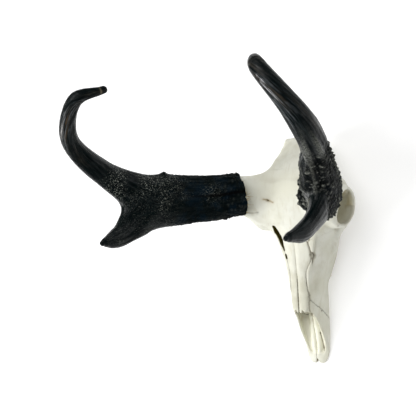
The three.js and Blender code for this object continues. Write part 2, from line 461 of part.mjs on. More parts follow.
const out = new THREE.Group();
out.position.set(0, BACK_SHIFT, -FLOOR_Z);
const ivory = () => new THREE.MeshStandardMaterial({ color: 0xddd9c8, roughness: 0.55, metalness: 0 });
const black = () => new THREE.MeshStandardMaterial({ color: 0x1c1d1b, roughness: 0.5, metalness: 0 });
function add(name, s, material) {
  const m = new THREE.Mesh(geometryOf(s), material);
  m.name = name;
  out.add(m);
}
add("braincase", braincase, ivory());
add("frontal", frontal, ivory());
add("maxilla_left", biggest(maxPair.intersect(left)), ivory());
add("maxilla_right", biggest(maxPair.intersect(right)), ivory());
add("premaxilla_left", biggest(premaxPair.intersect(left)), ivory());
add("premaxilla_right", biggest(premaxPair.intersect(right)), ivory());
add("nasal_left", biggest(nasalPair.intersect(left)), ivory());
add("nasal_right", biggest(nasalPair.intersect(right)), ivory());
add("horn_left", beam, black());
add("horn_left_prong", prong, black());
add("horn_right", mirrorX(beam), black());
add("horn_right_prong", mirrorX(prong), black());
export default out;
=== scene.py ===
# Looks of the pronghorn skull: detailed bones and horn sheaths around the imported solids.
# The bone is a signed distance field in millimetres, in the skull's own frame (+X the animal's left, -Y the nose, +Z up);
# SHIFT takes it to the frame of the solids.
import math
import bpy
import numpy as np
import openvdb
from mathutils import Matrix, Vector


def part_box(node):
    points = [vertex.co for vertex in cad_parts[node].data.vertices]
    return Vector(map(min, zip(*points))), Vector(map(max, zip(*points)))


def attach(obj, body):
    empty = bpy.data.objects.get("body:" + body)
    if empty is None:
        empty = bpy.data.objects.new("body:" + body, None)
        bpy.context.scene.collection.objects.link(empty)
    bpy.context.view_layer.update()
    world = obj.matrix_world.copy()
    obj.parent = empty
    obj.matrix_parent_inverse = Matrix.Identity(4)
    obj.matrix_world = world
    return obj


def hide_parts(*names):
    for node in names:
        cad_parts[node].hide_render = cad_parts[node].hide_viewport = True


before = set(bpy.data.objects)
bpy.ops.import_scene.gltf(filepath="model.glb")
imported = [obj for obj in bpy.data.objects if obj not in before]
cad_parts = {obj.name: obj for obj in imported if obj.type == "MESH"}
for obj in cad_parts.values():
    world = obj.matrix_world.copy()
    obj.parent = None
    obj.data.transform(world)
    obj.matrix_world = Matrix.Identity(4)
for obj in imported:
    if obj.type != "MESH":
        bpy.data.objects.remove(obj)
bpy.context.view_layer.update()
scene = bpy.context.scene

F32 = np.float32
SHIFT = np.array([0.0, 53.34, -2.5])
H = 0.75  # voxel of the bone
HH = 0.65  # voxel of the horn


# ------------------------------------------------------------------ mathematics
def clamp(v, a, b):
    return np.minimum(b, np.maximum(a, v))


def step(t):
    t = clamp(t, 0, 1)
    return t * t * (3 - 2 * t)


def smin(a, b, k):
    h = np.maximum(k - np.abs(a - b), 0) / k
    return np.minimum(a, b) - h * h * (k * 0.25)


def smax(a, b, k):
    return -smin(-a, -b, k)


def table(xs, ys):
    xs, ys = np.array(xs, float), np.array(ys, float)
    n = len(xs)
    m = np.array([(ys[min(i + 1, n - 1)] - ys[max(i - 1, 0)]) / (xs[min(i + 1, n - 1)] - xs[max(i - 1, 0)]) for i in range(n)])

    def f(x):
        x = clamp(np.asarray(x, float), xs[0], xs[-1])
        i = np.clip(np.searchsorted(xs, x, side="right") - 1, 0, n - 2)
        h = xs[i + 1] - xs[i]
        t = (x - xs[i]) / h
        t2, t3 = t * t, t * t * t
        return (ys[i] * (2 * t3 - 3 * t2 + 1) + m[i] * h * (t3 - 2 * t2 + t) + ys[i + 1] * (3 * t2 - 2 * t3) + m[i + 1] * h * (t3 - t2)).astype(F32)

    return f


def hash3(i, j, k, seed):
    v = (i.astype(np.uint32) * np.uint32(73856093)) ^ (j.astype(np.uint32) * np.uint32(19349663)) ^ (k.astype(np.uint32) * np.uint32(83492791)) ^ np.uint32(seed * 2654435761 % 4294967296)
    v ^= v >> np.uint32(13)
    v = v * np.uint32(1274126177)
    v ^= v >> np.uint32(16)
    return (v & np.uint32(0xFFFFFF)).astype(np.float64) / 16777216.0


def noise(P, size, seed=0):
    """Smooth value noise from -1 to 1 with features of about the given size."""
    Q = P / np.asarray(size, float)
    I = np.floor(Q).astype(np.int64)
    f = Q - I
    f = f * f * (3 - 2 * f)
    out = 0
    for a in (0, 1):
        for b in (0, 1):
            for c in (0, 1):
                w = (f[:, 0] if a else 1 - f[:, 0]) * (f[:, 1] if b else 1 - f[:, 1]) * (f[:, 2] if c else 1 - f[:, 2])
                out = out + w * hash3(I[:, 0] + a, I[:, 1] + b, I[:, 2] + c, seed)
    return out * 2 - 1


def bumps(P, size, seed=0):
    """Rounded knobs: 1 at the middle of a knob, 0 between knobs, with a random height for each."""
    Q = P / np.asarray(size, float)
    I = np.floor(Q).astype(np.int64)
    best = np.full(len(P), 9.0)
    val = np.zeros(len(P))
    for a in (-1, 0, 1):
        for b in (-1, 0, 1):
            for c in (-1, 0, 1):
                J = I + np.array([a, b, c])
                off = np.stack([hash3(J[:, 0], J[:, 1], J[:, 2], seed + s) for s in (1, 2, 3)], 1)
                d = np.linalg.norm(J + 0.15 + 0.7 * off - Q, axis=1)
                hit = d < best
                best = np.where(hit, d, best)
                val = np.where(hit, hash3(J[:, 0], J[:, 1], J[:, 2], seed + 9), val)
    return step(1 - best / 0.62) * val, best


# ------------------------------------------------------------------ the bone as a field
NOSE_Y, NASAL_TIP_Y, NASAL_THICK, WALL, FLOOR_Z = -196, -137, 3.4, 2.7, 2.5
ORBIT = (57.4, -10.1, 63.0)
RING, TUBE = 22.9, 1.8
AX = np.array([0.965, -0.2, 0.08])
AX /= np.linalg.norm(AX)
FACE_Y = [-197, -190, -180, -173, -166, -159, -151, -144, -137, -130, -118, -98, -85, -61, -45, -35, -14, 12]
ridge_z = table(FACE_Y, [6, 8.5, 10, 13.5, 19.5, 26.5, 33.5, 40, 49, 56.2, 59, 62.8, 65.6, 71.5, 77.5, 81.5, 89.5, 94])
ridge_w = table(FACE_Y, [6, 10, 13, 14.4, 15, 15.2, 15, 14.2, 13.2, 13.2, 13.8, 15.5, 17.5, 23.5, 29, 36, 47, 48])
ridge_d = table(FACE_Y, [1, 1.2, 1.2, 1.2, 1.2, 1.4, 1.8, 2.2, 2.8, 3.6, 4.4, 5, 5.5, 6.5, 6.5, 5.5, 3, 2])
cheek_z = table(FACE_Y, [5, 6, 7, 9, 12, 16, 20, 24, 27, 29, 32, 36, 36, 38, 41, 46, 50, 52])
cheek_w = table(FACE_Y, [8, 12.6, 15.2, 16, 16.4, 16.8, 17, 17.3, 17.5, 17.8, 18.2, 19.4, 22, 28, 34, 39.5, 41, 36])
jaw_z = table(FACE_Y, [2.6, 1.7, 2.0, 3.0, 4, 5.2, 6.4, 7.8, 9.4, 10.4, 12.2, 14, 11.5, 10.5, 10.5, 10.5, 14, 24])
jaw_w = table(FACE_Y, [7, 12.2, 15.2, 16, 16.4, 16.8, 17, 17.2, 17.3, 17.3, 17.2, 16.8, 19.4, 25.8, 28.2, 29.6, 29, 24])
back_line = table([-145, -137, -118, -98, -61, -35, -14, 12], [54.5, 56, 59.6, 63, 71.8, 81.5, 89.5, 94])
nasal_tip = table([0, 1.5, 3, 4.5, 6, 7.5, 9, 10.5, 13], [-135.6, -136.9, -135.4, -132.4, -134.3, -135.4, -133, -128.5, -122])
nasal_wl = table([-145, -128, -115, -105, -91, -85, -78, -72, -64, -54, -47, -42], [10.8, 11.2, 12.2, 11.2, 10.9, 12.1, 15.4, 17.9, 19.0, 17.3, 13, 7])
nasal_wr = table([-145, -128, -115, -105, -91, -85, -78, -69, -61, -53, -47, -42], [10.8, 11.2, 12.2, 11.2, 10.9, 11.4, 12.4, 14.0, 16.7, 18.4, 14, 7])


def egg(x, y, z, c, r, tilt=0.0):
    px, py, pz = x - F32(c[0]), y - F32(c[1]), z - F32(c[2])
    if tilt:
        s, q = F32(math.sin(tilt)), F32(math.cos(tilt))
        py, pz = q * py - s * pz, s * py + q * pz
    k0 = np.sqrt((px / r[0]) ** 2 + (py / r[1]) ** 2 + (pz / r[2]) ** 2)
    k1 = np.sqrt((px / r[0] ** 2) ** 2 + (py / r[1] ** 2) ** 2 + (pz / r[2] ** 2) ** 2)
    return (k0 * (k0 - 1) / np.maximum(k1, 1e-6)).astype(F32)


def rods(x, y, z, pts, k=3, flat=1.0):
    d = None
    for a, b in zip(pts[:-1], pts[1:]):
        bx, by, bz = (b[0] - a[0]) * flat, b[1] - a[1], b[2] - a[2]
        px, py, pz = (x - F32(a[0])) * F32(flat), y - F32(a[1]), z - F32(a[2])
        t = clamp((px * bx + py * by + pz * bz) / F32(bx * bx + by * by + bz * bz), 0, 1).astype(F32)
        e = np.sqrt((px - t * F32(bx)) ** 2 + (py - t * F32(by)) ** 2 + (pz - t * F32(bz)) ** 2) - (F32(a[3]) + t * F32(b[3] - a[3]))
        d = e if d is None else smin(d, e, k)
    return d


def side_width(y, z):
    zs, zc, wc, zj, wj = ridge_z(y) - ridge_d(y), cheek_z(y), cheek_w(y), jaw_z(y), jaw_w(y)
    low = wj + (wc - wj) * step((z - zj) / np.maximum(zc - zj, 0.5))
    return np.where(z < zc, low, wc + (ridge_w(y) - wc) * step((z - zc) / np.maximum(zs - zc, 0.5)))


def face(x, y, z, W):
    zt, w = ridge_z(y), ridge_w(y)
    top = zt - ridge_d(y) * np.minimum((x / w) ** 2, F32(2.2))
    d = smax((x - W) * F32(0.9), (z - top) * F32(0.93), clamp(zt * F32(0.06), 1.5, 3.5) + F32(3.0) * step((y + 112) / 20) + F32(3.0) * step((y + 88) / 22))
    d = smax(d, jaw_z(y) - z, 4)
    tip = NOSE_Y - y + F32(0.03) * (x - 7) ** 2 + F32(2.2) * np.maximum(0, F32(2.2) - x)
    return smax(d, smax(tip, y - 14, 3), 3)


def nose_hollow(x, y, z, W):
    floor = jaw_z(y) + F32(4.4) + F32(0.25) * np.maximum(-182 - y, 0) + F32(7.0) * step((y + 182) / 40) * (y < -84)
    d = smax(x - W + F32(WALL), floor - z, 5)
    roof = np.where(y > NASAL_TIP_Y - 2, back_line(y) - F32(NASAL_THICK) - F32(0.045) * x * x, F32(200))
    return smax(smax(d, z - roof, 5), smax(-184 - y, y + 84, 6), 6)


def nasals(x, y, z):
    w = ridge_w(y) - F32(0.9) - F32(1.2) * step((-120 - y) / 16)
    top = back_line(y) + F32(0.5) - ridge_d(y) * np.minimum((x / w) ** 2, F32(1.6)) * F32(0.82)
    d = smax(z - top, top - F32(NASAL_THICK) - z, 1.6)
    d = smax(d, x - w, 2.0)
    return smax(d, np.maximum(nasal_tip(x) - y, y + 30), 1.0)


def axial(x, y, z):
    px, py, pz = x - F32(ORBIT[0]), y - F32(ORBIT[1]), z - F32(ORBIT[2])
    h = px * F32(AX[0]) + py * F32(AX[1]) + pz * F32(AX[2])
    return h, np.sqrt(np.maximum(px * px + py * py + pz * pz - h * h, 0))


def orbit_ring(x, y, z):
    h, q = axial(x, y, z)
    return np.sqrt((q - F32(RING)) ** 2 + np.where(h > 0, h, h * F32(0.62)) ** 2) - F32(TUBE)


def orbit_hollow(x, y, z):
    h, q = axial(x, y, z)
    r = F32(RING - TUBE + 0.8) * np.where(h > -12, F32(1), np.sqrt(np.maximum(0, 1 - ((h + 12) / 26) ** 2)))
    return np.where(h < -38, F32(9), np.maximum(np.maximum(q - r, -38 - h), h - 30) * F32(0.9))


def stub(x, y, z, A, B, long, thick, fore=(0, -1, 0)):
    A, B, fo = np.array(A, float), np.array(B, float), np.array(fore, float)
    d = B - A
    t0 = d / np.linalg.norm(d)
    a = fo - t0 * (t0 @ fo)
    a /= np.linalg.norm(a)
    px, py, pz = x - F32(A[0]), y - F32(A[1]), z - F32(A[2])
    t = clamp((px * F32(d[0]) + py * F32(d[1]) + pz * F32(d[2])) / F32(d @ d), 0, 1).astype(F32)
    qx, qy, qz = px - t * F32(d[0]), py - t * F32(d[1]), pz - t * F32(d[2])
    m = qx * F32(a[0]) + qy * F32(a[1]) + qz * F32(a[2])
    r2 = np.maximum(qx * qx + qy * qy + qz * qz - m * m, 0)
    L, T = F32(long[0]) + t * F32(long[1] - long[0]), F32(thick[0]) + t * F32(thick[1] - thick[0])
    k = np.sqrt((m / L) ** 2 + r2 / T ** 2)
    k1 = np.sqrt((m / L ** 2) ** 2 + r2 / T ** 4)
    return (k * (k - 1) / np.maximum(k1, 1e-6)).astype(F32)


TOOTH_Y, TOOTH_LEN = -88.0, 70 / 6
TOOTH_OUTER, TOOTH_HALF = [14.2, 17.2, 19.6, 21.7, 23.2, 23.8], [3.6, 4.2, 4.8, 5.6, 5.9, 5.6]


def teeth(x, y, z):
    """Cheek teeth: premolars with one lobe, molars with two, ribs on the outer wall, crescent valleys on the crown."""
    d = None
    for i in range(6):
        yc = TOOTH_Y + TOOTH_LEN * (i + 0.5)
        lobes = 1 if i < 3 else 2
        lean = F32(0.12) * (z - F32(FLOOR_Z))
        for j in range(lobes):
            half = TOOTH_LEN * 0.5 / lobes
            y0 = yc + (j - (lobes - 1) / 2) * 2 * half
            x0 = TOOTH_OUTER[i] - TOOTH_HALF[i]
            px, py = x - F32(x0) - lean, y - F32(y0)
            # the outer wall is ribbed, the inner one is a rounded lobe
            wall = F32(0.45) * np.cos(py * F32(2 * math.pi / (half * 1.1)))
            outer = px - F32(TOOTH_HALF[i] - 0.5) - wall
            lobe = np.sqrt((np.minimum(px, 0) / F32(TOOTH_HALF[i] / half)) ** 2 + py ** 2) - F32(half * 0.99)
            e = smax(outer, smax(lobe, np.abs(py) - F32(half * 0.98), 0.8), 1.0)
            cres = np.abs(np.sqrt((px - F32(1.2)) ** 2 + (py * F32(0.9)) ** 2) - F32(half * 0.5)) - F32(0.5)
            e = np.maximum(e, -np.maximum(cres, z - F32(FLOOR_Z + 1.4)))
            e = np.maximum(np.maximum(e, z - F32(14.5)), F32(FLOOR_Z) - z)
            d = e if d is None else np.minimum(d, e)
    return d


JUGAL = [[57, 2, 38, 3.6], [53.5, -14, 38.5, 4.2], [46, -27, 40, 5.4], [34.5, -42, 35, 4.4], [28.5, -56, 28, 3.8]]
ARCH = [[57.5, -4, 38.4, 3.8], [57, 8, 42, 3.9], [50, 20.5, 48.5, 3.7], [42.5, 32, 53.4, 3.9], [34.5, 41, 54.6, 5.4]]
BEHIND = [[42, 10, 38, 5.5], [48, 11, 44, 4.8], [53, 12.2, 51, 3.6], [57, 13, 59, 2.6]]
NAPE = [[0, 76, 65, 3.8], [16.5, 74.5, 65, 3.8], [27, 66, 55, 4.2], [27, 59, 45, 4.8]]


def bone(x, y, z):
    W = side_width(y, z)
    d = face(x, y, z, W)
    d = smax(d, -nose_hollow(x, y, z, W), 2.0)
    d = smin(d, nasals(x, y, z), 1.2)
    d = smin(d, rods(x, y, z, [[2.2, -185, 6.6, 2.0], [3.4, -176, 8.6, 2.7], [3.6, -163, 12, 3.2], [3.0, -150, 16.5, 3.2], [2.0, -138, 21, 3.0], [1.0, -120, 26, 2.6]], 2), 3)
    s = egg(x, y, z, [0, -2, 70], [34, 44, 25])
    s = smin(s, egg(x, y, z, [29, -1, 83.5], [32, 27, 9]), 12)
    s = smin(s, egg(x, y, z, [0, 38, 58], [33.6, 43, 34.5], 0.36), 20)
    s = smin(s, rods(x, y, z, [[38, 17, 88, 8], [26, 28, 84, 8], [16, 42, 80, 8]], 4), 10)
    s = smin(s, egg(x, y, z, [0, 62, 44], [31, 18, 24]), 8)
    s = smin(s, rods(x, y, z, NAPE, 4), 6)
    d = smin(d, s, 9)
    d = smin(d, smax(egg(x, y, z, [45.5, -10.5, 58.5], [20, 24.5, 24]), y - 9, 4), 4)
    d = smax(d, -orbit_hollow(x, y, z), 3.5)
    d = smin(d, orbit_ring(x, y, z), 4.5)
    d = smin(d, stub(x, y, z, [43, 1.5, 80], [60, 3, 112], [27, 23.4], [15.5, 11.4]), 17)
    d = smax(d, -egg(x, y, z, [46.5, -9.5, 61], [24, 19, 19]), 3)
    d = smin(d, rods(x, y, z, JUGAL, 4), 5)
    d = smin(d, rods(x, y, z, ARCH, 4, 1.45), 4)
    d = smin(d, rods(x, y, z, BEHIND, 3), 3)
    d = smax(d, -np.maximum(orbit_hollow(x, y, z) + F32(0.2), np.maximum(z - 54, y + 6)), 1.5)
    # underside
    d = smin(d, rods(x, y, z, [[0, 76, 24, 9], [0, 48, 24, 10.5], [0, 14, 30, 12], [0, -18, 38, 12]], 5), 5)
    d = smin(d, egg(x, y, z, [19, 37, 17], [8.6, 13, 12]), 3.5)
    d = smin(d, rods(x, y, z, [[22, 38, 32, 8], [34, 45, 43, 4.6]], 3), 4)
    d = smin(d, egg(x, y, z, [35.5, 33, 49], [9.5, 9, 6]), 4)
    d = smin(d, rods(x, y, z, [[23, 59, 42, 7], [22, 53, 22, 4.5], [20.5, 47, 5.1, 2.9]], 4), 5)
    d = smin(d, egg(x, y, z, [10.5, 78, 30], [7.6, 8, 9.8]), 2.5)
    d = smin(d, rods(x, y, z, [[12, -22, 14.5, 2.6], [11, 0, 17, 2.4], [10.5, 16, 24, 2.6]], 3), 3)
    d = smax(d, -egg(x, y, z, [0, 88, 40], [8.6, 16, 8.4]), 2.0)
    d = smax(d, -egg(x, y, z, [0, -52, 6], [15.5, 60, 9.5]), 4)
    d = smax(d, -rods(x, y, z, [[0, -18, 20, 7], [0, 8, 20, 6.5]], 3), 3)
    # holes for nerves and vessels
    d = smax(d, -rods(x, y, z, [[35, 46, 43, 2.2], [26, 41, 35, 2.0]], 1), 1.2)
    d = smax(d, -rods(x, y, z, [[26.4, -4.2, 97.4, 0.8], [25.6, -2.2, 90, 0.8]], 1), 0.8)
    d = smax(d, -rods(x, y, z, [[29.8, -3.4, 98.4, 0.3], [26.4, -4.2, 97.2, 0.8], [22.0, -6.4, 96.6, 0.4]], 1), 0.8)
    d = smax(d, -rods(x, y, z, [[53.4, -33.0, 66, 1.0], [45, -29, 64, 0.9]], 1), 0.6)
    d = smin(d, teeth(x, y, z), 0.8)
    # valley between the nasals and along their outer seams
    on = step((-40 - y) / 25) * (z > back_line(y) - 13)
    d = d + on * (F32(1.0) * np.exp(-(x / F32(2.6)) ** 2) + F32(0.7) * np.exp(-((x - nasal_wl(y)) / F32(1.5)) ** 2))
    return np.maximum(d, F32(FLOOR_Z) - z)


# ------------------------------------------------------------------ sampling the field
X1, Y0, Y1, Z0, Z1 = 75.0, -201.0, 94.0, 0.0, 122.0
nx, ny, nz = int(X1 / H), int((Y1 - Y0) / H), int((Z1 - Z0) / H)
gx = ((np.arange(nx) + 0.5) * H).astype(F32).reshape(-1, 1, 1)
gy = (Y0 + np.arange(ny) * H).astype(F32).reshape(1, -1, 1)
gz = (Z0 + np.arange(nz) * H).astype(F32).reshape(1, 1, -1)
half = np.empty((nx, ny, nz), F32)
for j in range(0, ny, 40):  # in slabs, so that the arrays stay small
    half[:, j:j + 40] = bone(gx, gy[:, j:j + 40], gz)
S = np.concatenate([half[::-1], half], 0)
del half
ax_x = np.concatenate([-gx[::-1, 0, 0], gx[:, 0, 0]])
LO = np.array([ax_x[0], Y0, Z0], float)


def window(lo, hi):
    """Slices and coordinates of a box of the grid."""
    i0 = np.maximum(((np.array(lo) - LO) / H).astype(int), 0)
    i1 = np.minimum(((np.array(hi) - LO) / H).astype(int) + 2, S.shape)
    sl = tuple(slice(a, b) for a, b in zip(i0, i1))
    return sl, ax_x[sl[0]].reshape(-1, 1, 1), gy[:, sl[1]], gz[:, :, sl[2]]


def carve(pts, k=0.8, deep=(0, 0, 0), layers=1):
    """Cuts a groove along points [x, y, z, radius]; deep and layers push it into the bone."""
    P = np.array(pts, float)
    for n in range(layers):
        Q = P.copy()
        Q[:, :3] += np.array(deep, float) * n
        r = Q[:, 3].max() + 3
        sl, x, y, z = window(Q[:, :3].min(0) - r, Q[:, :3].max(0) + r)
        S[sl] = smax(S[sl], -rods(x, y, z, Q.tolist(), 1), k)


# openings beside the root of the nose: a slit on the right, a crack and a small hole on the left
SLIT = [[-24.2, -34.8, 81.8, 2.3], [-23.0, -40, 78.6, 3.6], [-20.8, -44.8, 76.0, 3.2], [-19.1, -52.8, 72.1, 2.1], [-16.8, -61.1, 69.5, 1.1]]
carve(SLIT, 0.6, (0.9, 0.2, -1.6), 5)
PIT = [[-14.6, -67.2, 68.1, 1.0], [-14.2, -70.6, 67.4, 1.2]]
carve(PIT, 0.6, (0.8, 0, -1.6), 3)
CRACK = [[33.4, -37.6, 73.8, 0.45], [27.0, -41.2, 75.2, 0.55], [22.9, -45.6, 74.6, 0.6], [17.6, -53.6, 72.4, 0.5], [19.0, -63.6, 67.7, 0.6], [20.0, -66.0, 64.4, 0.9]]
carve(CRACK, 0.6, (-0.6, 0, -1.2), 2)
carve([[19.4, -66.4, 64.8, 2.8], [20.4, -68.0, 62.4, 3.2], [21.2, -69.4, 60.0, 2.6]], 1.0)
carve([[11.6, -138, 46.5, 2.2], [11.8, -143, 41, 3.2], [12.0, -150, 34.5, 3.3], [12.2, -160, 25.5, 3.0], [12.0, -170, 16.8, 2.2]], 2.0)
SLOTS = [[[5.2, -141, 20.2, 0.3], [6.6, -158.5, 14.2, 0.5], [8.4, -176, 7.6, 0.5], [8.6, -179.5, 6.8, 0.3]], [[-5.5, -162.6, 12.6, 0.4], [-5.1, -172, 8.8, 0.7], [-4.7, -178.9, 6.8, 0.45]]]
for groove in SLOTS:
    carve(groove, 0.8, (0, 0, -1.1), 2)
FOLD = [[-50.3, -18.9, 106.6, 0.4], [-46.5, -19.1, 102.5, 0.7], [-42.6, -18.9, 99.7, 0.7], [-38.3, -18.1, 97.5, 0.4]]
carve(FOLD, 0.6)
STREAK = [[-31.0, -2.4, 0], [-26.6, -3.2, 0], [-22.7, -4.6, 0], [-18.5, -6.6, 0]]
carve([[-30.2, -2.6, 98.2, 0.4], [-26.6, -3.4, 97.2, 1.0], [-23.0, -4.6, 96.4, 0.7]], 0.6, (0, 0, -0.8), 2)
carve([[17.2, -132.0, 32.6, 0.8], [15.8, -131.4, 32.2, 0.7]], 0.5)

# ------------------------------------------------------------------ parting into bones
yy = gy[0, :, 0].astype(float)
wave = 0.35 * np.sin(yy * 1.9) + 0.3 * np.sin(yy * 0.83 + 1.0) + 0.18 * np.sin(yy * 4.1)
zz = gz[0, 0, :].astype(float)
ab = np.abs(ax_x).astype(float)
jag = (0.5 * np.sin(zz * 1.3)[None, :] + 0.35 * np.sin(zz * 2.9 + ab[:, None] * 1.1) + 0.4 * np.sin(ab[:, None] * 1.7 + 1.0)).astype(F32)[:, None, :]
mid = (ax_x.reshape(-1, 1, 1) + F32(0.6) + (0.12 * wave).astype(F32).reshape(1, -1, 1)).astype(F32)  # left of the seam is positive
nasal_half = np.where(ax_x.reshape(-1, 1, 1) > 0, (nasal_wl(yy) + 0.4 * wave).astype(F32).reshape(1, -1, 1), (nasal_wr(yy) + 0.4 * wave).astype(F32).reshape(1, -1, 1))
nasal_room = np.maximum(np.abs(ax_x.reshape(-1, 1, 1)) - nasal_half, (back_line(yy) - 8.6 - 5.0 * step((yy + 100) / 20)).astype(F32).reshape(1, -1, 1) - gz)
nasal_room = np.maximum(nasal_room, gy + F32(42) + F32(0.35) * np.abs(ax_x).reshape(-1, 1, 1) - 2)
premax = (gy + 130) * F32(0.9) - (gz - 33) * F32(0.436) + jag * F32(0.7)  # negative in front of the suture
cranium = -((gy + 52) * F32(0.85) + (gz - 76) * F32(0.527)) + jag * F32(0.9)  # negative behind
brain = -((gy - 31) * F32(0.985) - (gz - 80) * F32(0.174)) + jag * F32(1.1)
open_seam = (0.10 + 0.28 * step((-86 - yy) / 14)).astype(F32).reshape(1, -1, 1)  # the nasals gape towards their tips
HAIR = F32(0.0)
SEAM = F32(0.2)
BONES = {
    "nasal_left": lambda s: np.maximum(np.maximum(s, nasal_room + SEAM), -mid + open_seam),
    "nasal_right": lambda s: np.maximum(np.maximum(s, nasal_room + SEAM), mid + open_seam),
    "premaxilla_left": lambda s: np.maximum(np.maximum(s, -nasal_room + SEAM), np.maximum(premax + SEAM, -mid + SEAM)),
    "premaxilla_right": lambda s: np.maximum(np.maximum(s, -nasal_room + SEAM), np.maximum(premax + SEAM, mid + SEAM)),
    "maxilla_left": lambda s: np.maximum(np.maximum(np.maximum(s, -nasal_room + SEAM), np.maximum(-premax + SEAM, -mid + HAIR)), -cranium + HAIR),
    "maxilla_right": lambda s: np.maximum(np.maximum(np.maximum(s, -nasal_room + SEAM), np.maximum(-premax + SEAM, mid + HAIR)), -cranium + HAIR),
    "frontal": lambda s: np.maximum(np.maximum(np.maximum(s, -nasal_room + SEAM), cranium + HAIR), -brain + HAIR),
    "braincase": lambda s: np.maximum(np.maximum(s, cranium + HAIR), brain + HAIR),
}

# the horn cores stop under the sheaths
BEAM = [[49.3, 6.3, 102.6], [75.2, -4.5, 136.8], [95.0, -10.2, 172.0], [114.2, -12.3, 213.4], [134.2, 6.0, 268.6], [137.9, 32.1, 317.4], [114.5, 67.1, 336.9], [97.4, 84.1, 312.6]]
BEAM_LONG = [25.5, 27.4, 28.4, 24.3, 14.2, 10.2, 8.0, 4.2]
BEAM_THICK = [19.5, 18.0, 14.0, 12.3, 11.4, 9.6, 7.6, 4.0]
PRONG = [[102.3, -12.8, 186.7], [117.1, -39.2, 224.2], [117.8, -63.5, 250.7], [115.1, -75.6, 280.2]]
PRONG_LONG = [27.5, 19.4, 10.4, 3.6]
PRONG_THICK = [10.6, 9.7, 6.3, 3.2]
SHEATH_START = 0.032


def catmull(pts, u):
    """Point and direction on a uniform curve through the points, with mirrored end points."""
    p = np.array(pts, float)
    p = np.vstack([2 * p[0] - p[1], p, 2 * p[-1] - p[-2]])
    f = u * (len(pts) - 1)
    i = min(int(f), len(pts) - 2)
    t = f - i
    a, b, c, d = p[i], p[i + 1], p[i + 2], p[i + 3]
    m0, m1 = (c - a) / 2, (d - b) / 2
    t2, t3 = t * t, t * t * t
    q = (2 * t3 - 3 * t2 + 1) * b + (t3 - 2 * t2 + t) * m0 + (3 * t2 - 2 * t3) * c + (t3 - t2) * m1
    v = (6 * t2 - 6 * t) * b + (3 * t2 - 4 * t + 1) * m0 + (6 * t - 6 * t2) * c + (3 * t2 - 2 * t) * m1
    return q, v / np.linalg.norm(v)


root, root_dir = catmull(BEAM, SHEATH_START)
sl, x, y, z = window([-75, -35, 85], [75, 40, 122])
S[sl] = np.maximum(S[sl], (np.abs(x) - F32(root[0])) * F32(root_dir[0]) + (y - F32(root[1])) * F32(root_dir[1]) + (z - F32(root[2])) * F32(root_dir[2]) + F32(0.5))


def sample(A, P, lo, h):
    """Trilinear value of a grid at points."""
    q = (P - lo) / h
    q = np.clip(q, 0, np.array(A.shape) - 1.001)
    i = q.astype(int)
    f = (q - i).astype(F32)
    out = 0
    for a in (0, 1):
        for b in (0, 1):
            for c in (0, 1):
                w = (f[:, 0] if a else 1 - f[:, 0]) * (f[:, 1] if b else 1 - f[:, 1]) * (f[:, 2] if c else 1 - f[:, 2])
                out = out + w * A[i[:, 0] + a, i[:, 1] + b, i[:, 2] + c]
    return out


def slope(A, P, lo, h):
    g = np.stack([sample(A, P + e, lo, h) - sample(A, P - e, lo, h) for e in np.eye(3) * h], 1)
    return g / np.maximum(np.linalg.norm(g, axis=1, keepdims=True), 1e-6)


def polygons(field, lo, h):
    grid = openvdb.FloatGrid(3.0)
    grid.copyFromArray(np.ascontiguousarray(np.clip(field / h, -3, 3), dtype=np.float32))
    pts, quads = grid.convertToQuads(0.0)
    return np.array(pts, float) * h + lo, np.array(quads, int)[:, ::-1]


def make(name, P, quads, mat, attrs):
    me = bpy.data.meshes.new(name)
    n, m = len(P), len(quads)
    me.vertices.add(n)
    me.vertices.foreach_set("co", ((P + SHIFT) / 1000.0).astype(np.float32).ravel())
    me.loops.add(4 * m)
    me.loops.foreach_set("vertex_index", quads.astype(np.int32).ravel())
    me.polygons.add(m)
    me.polygons.foreach_set("loop_start", np.arange(0, 4 * m, 4, dtype=np.int32))
    me.polygons.foreach_set("use_smooth", np.ones(m, bool))
    me.update(calc_edges=True)
    me.validate()
    for key, v in attrs.items():
        if v.ndim == 1:
            me.attributes.new(key, "FLOAT", "POINT").data.foreach_set("value", v.astype(np.float32))
        else:
            me.attributes.new(key, "FLOAT_VECTOR", "POINT").data.foreach_set("vector", v.astype(np.float32).ravel())
    ob = bpy.data.objects.new(name, me)
    scene.collection.objects.link(ob)
    ob.data.materials.append(mat)
    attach(ob, "root")
    return ob


def compact(P, quads):
    """Keeps the largest connected piece, so that no crumb is left."""
    lab = np.arange(len(P))
    while True:
        m = lab[quads].min(1)
        new = lab.copy()
        np.minimum.at(new, quads.ravel(), np.repeat(m, 4))
        new = new[new]
        if (new == lab).all():
            break
        lab = new
    ids, cnt = np.unique(lab[quads[:, 0]], return_counts=True)
    keep = lab[quads[:, 0]] == ids[cnt.argmax()]
    quads = quads[keep]
    used = np.unique(quads)
    back = np.zeros(len(P), int)
    back[used] = np.arange(len(used))
    return P[used], back[quads]


# ------------------------------------------------------------------ materials
def nodes_of(name):
    mat = bpy.data.materials.new(name)
    mat.use_nodes = True
    nt = mat.node_tree
    bsdf = nt.nodes["Principled BSDF"]
    return mat, nt, bsdf


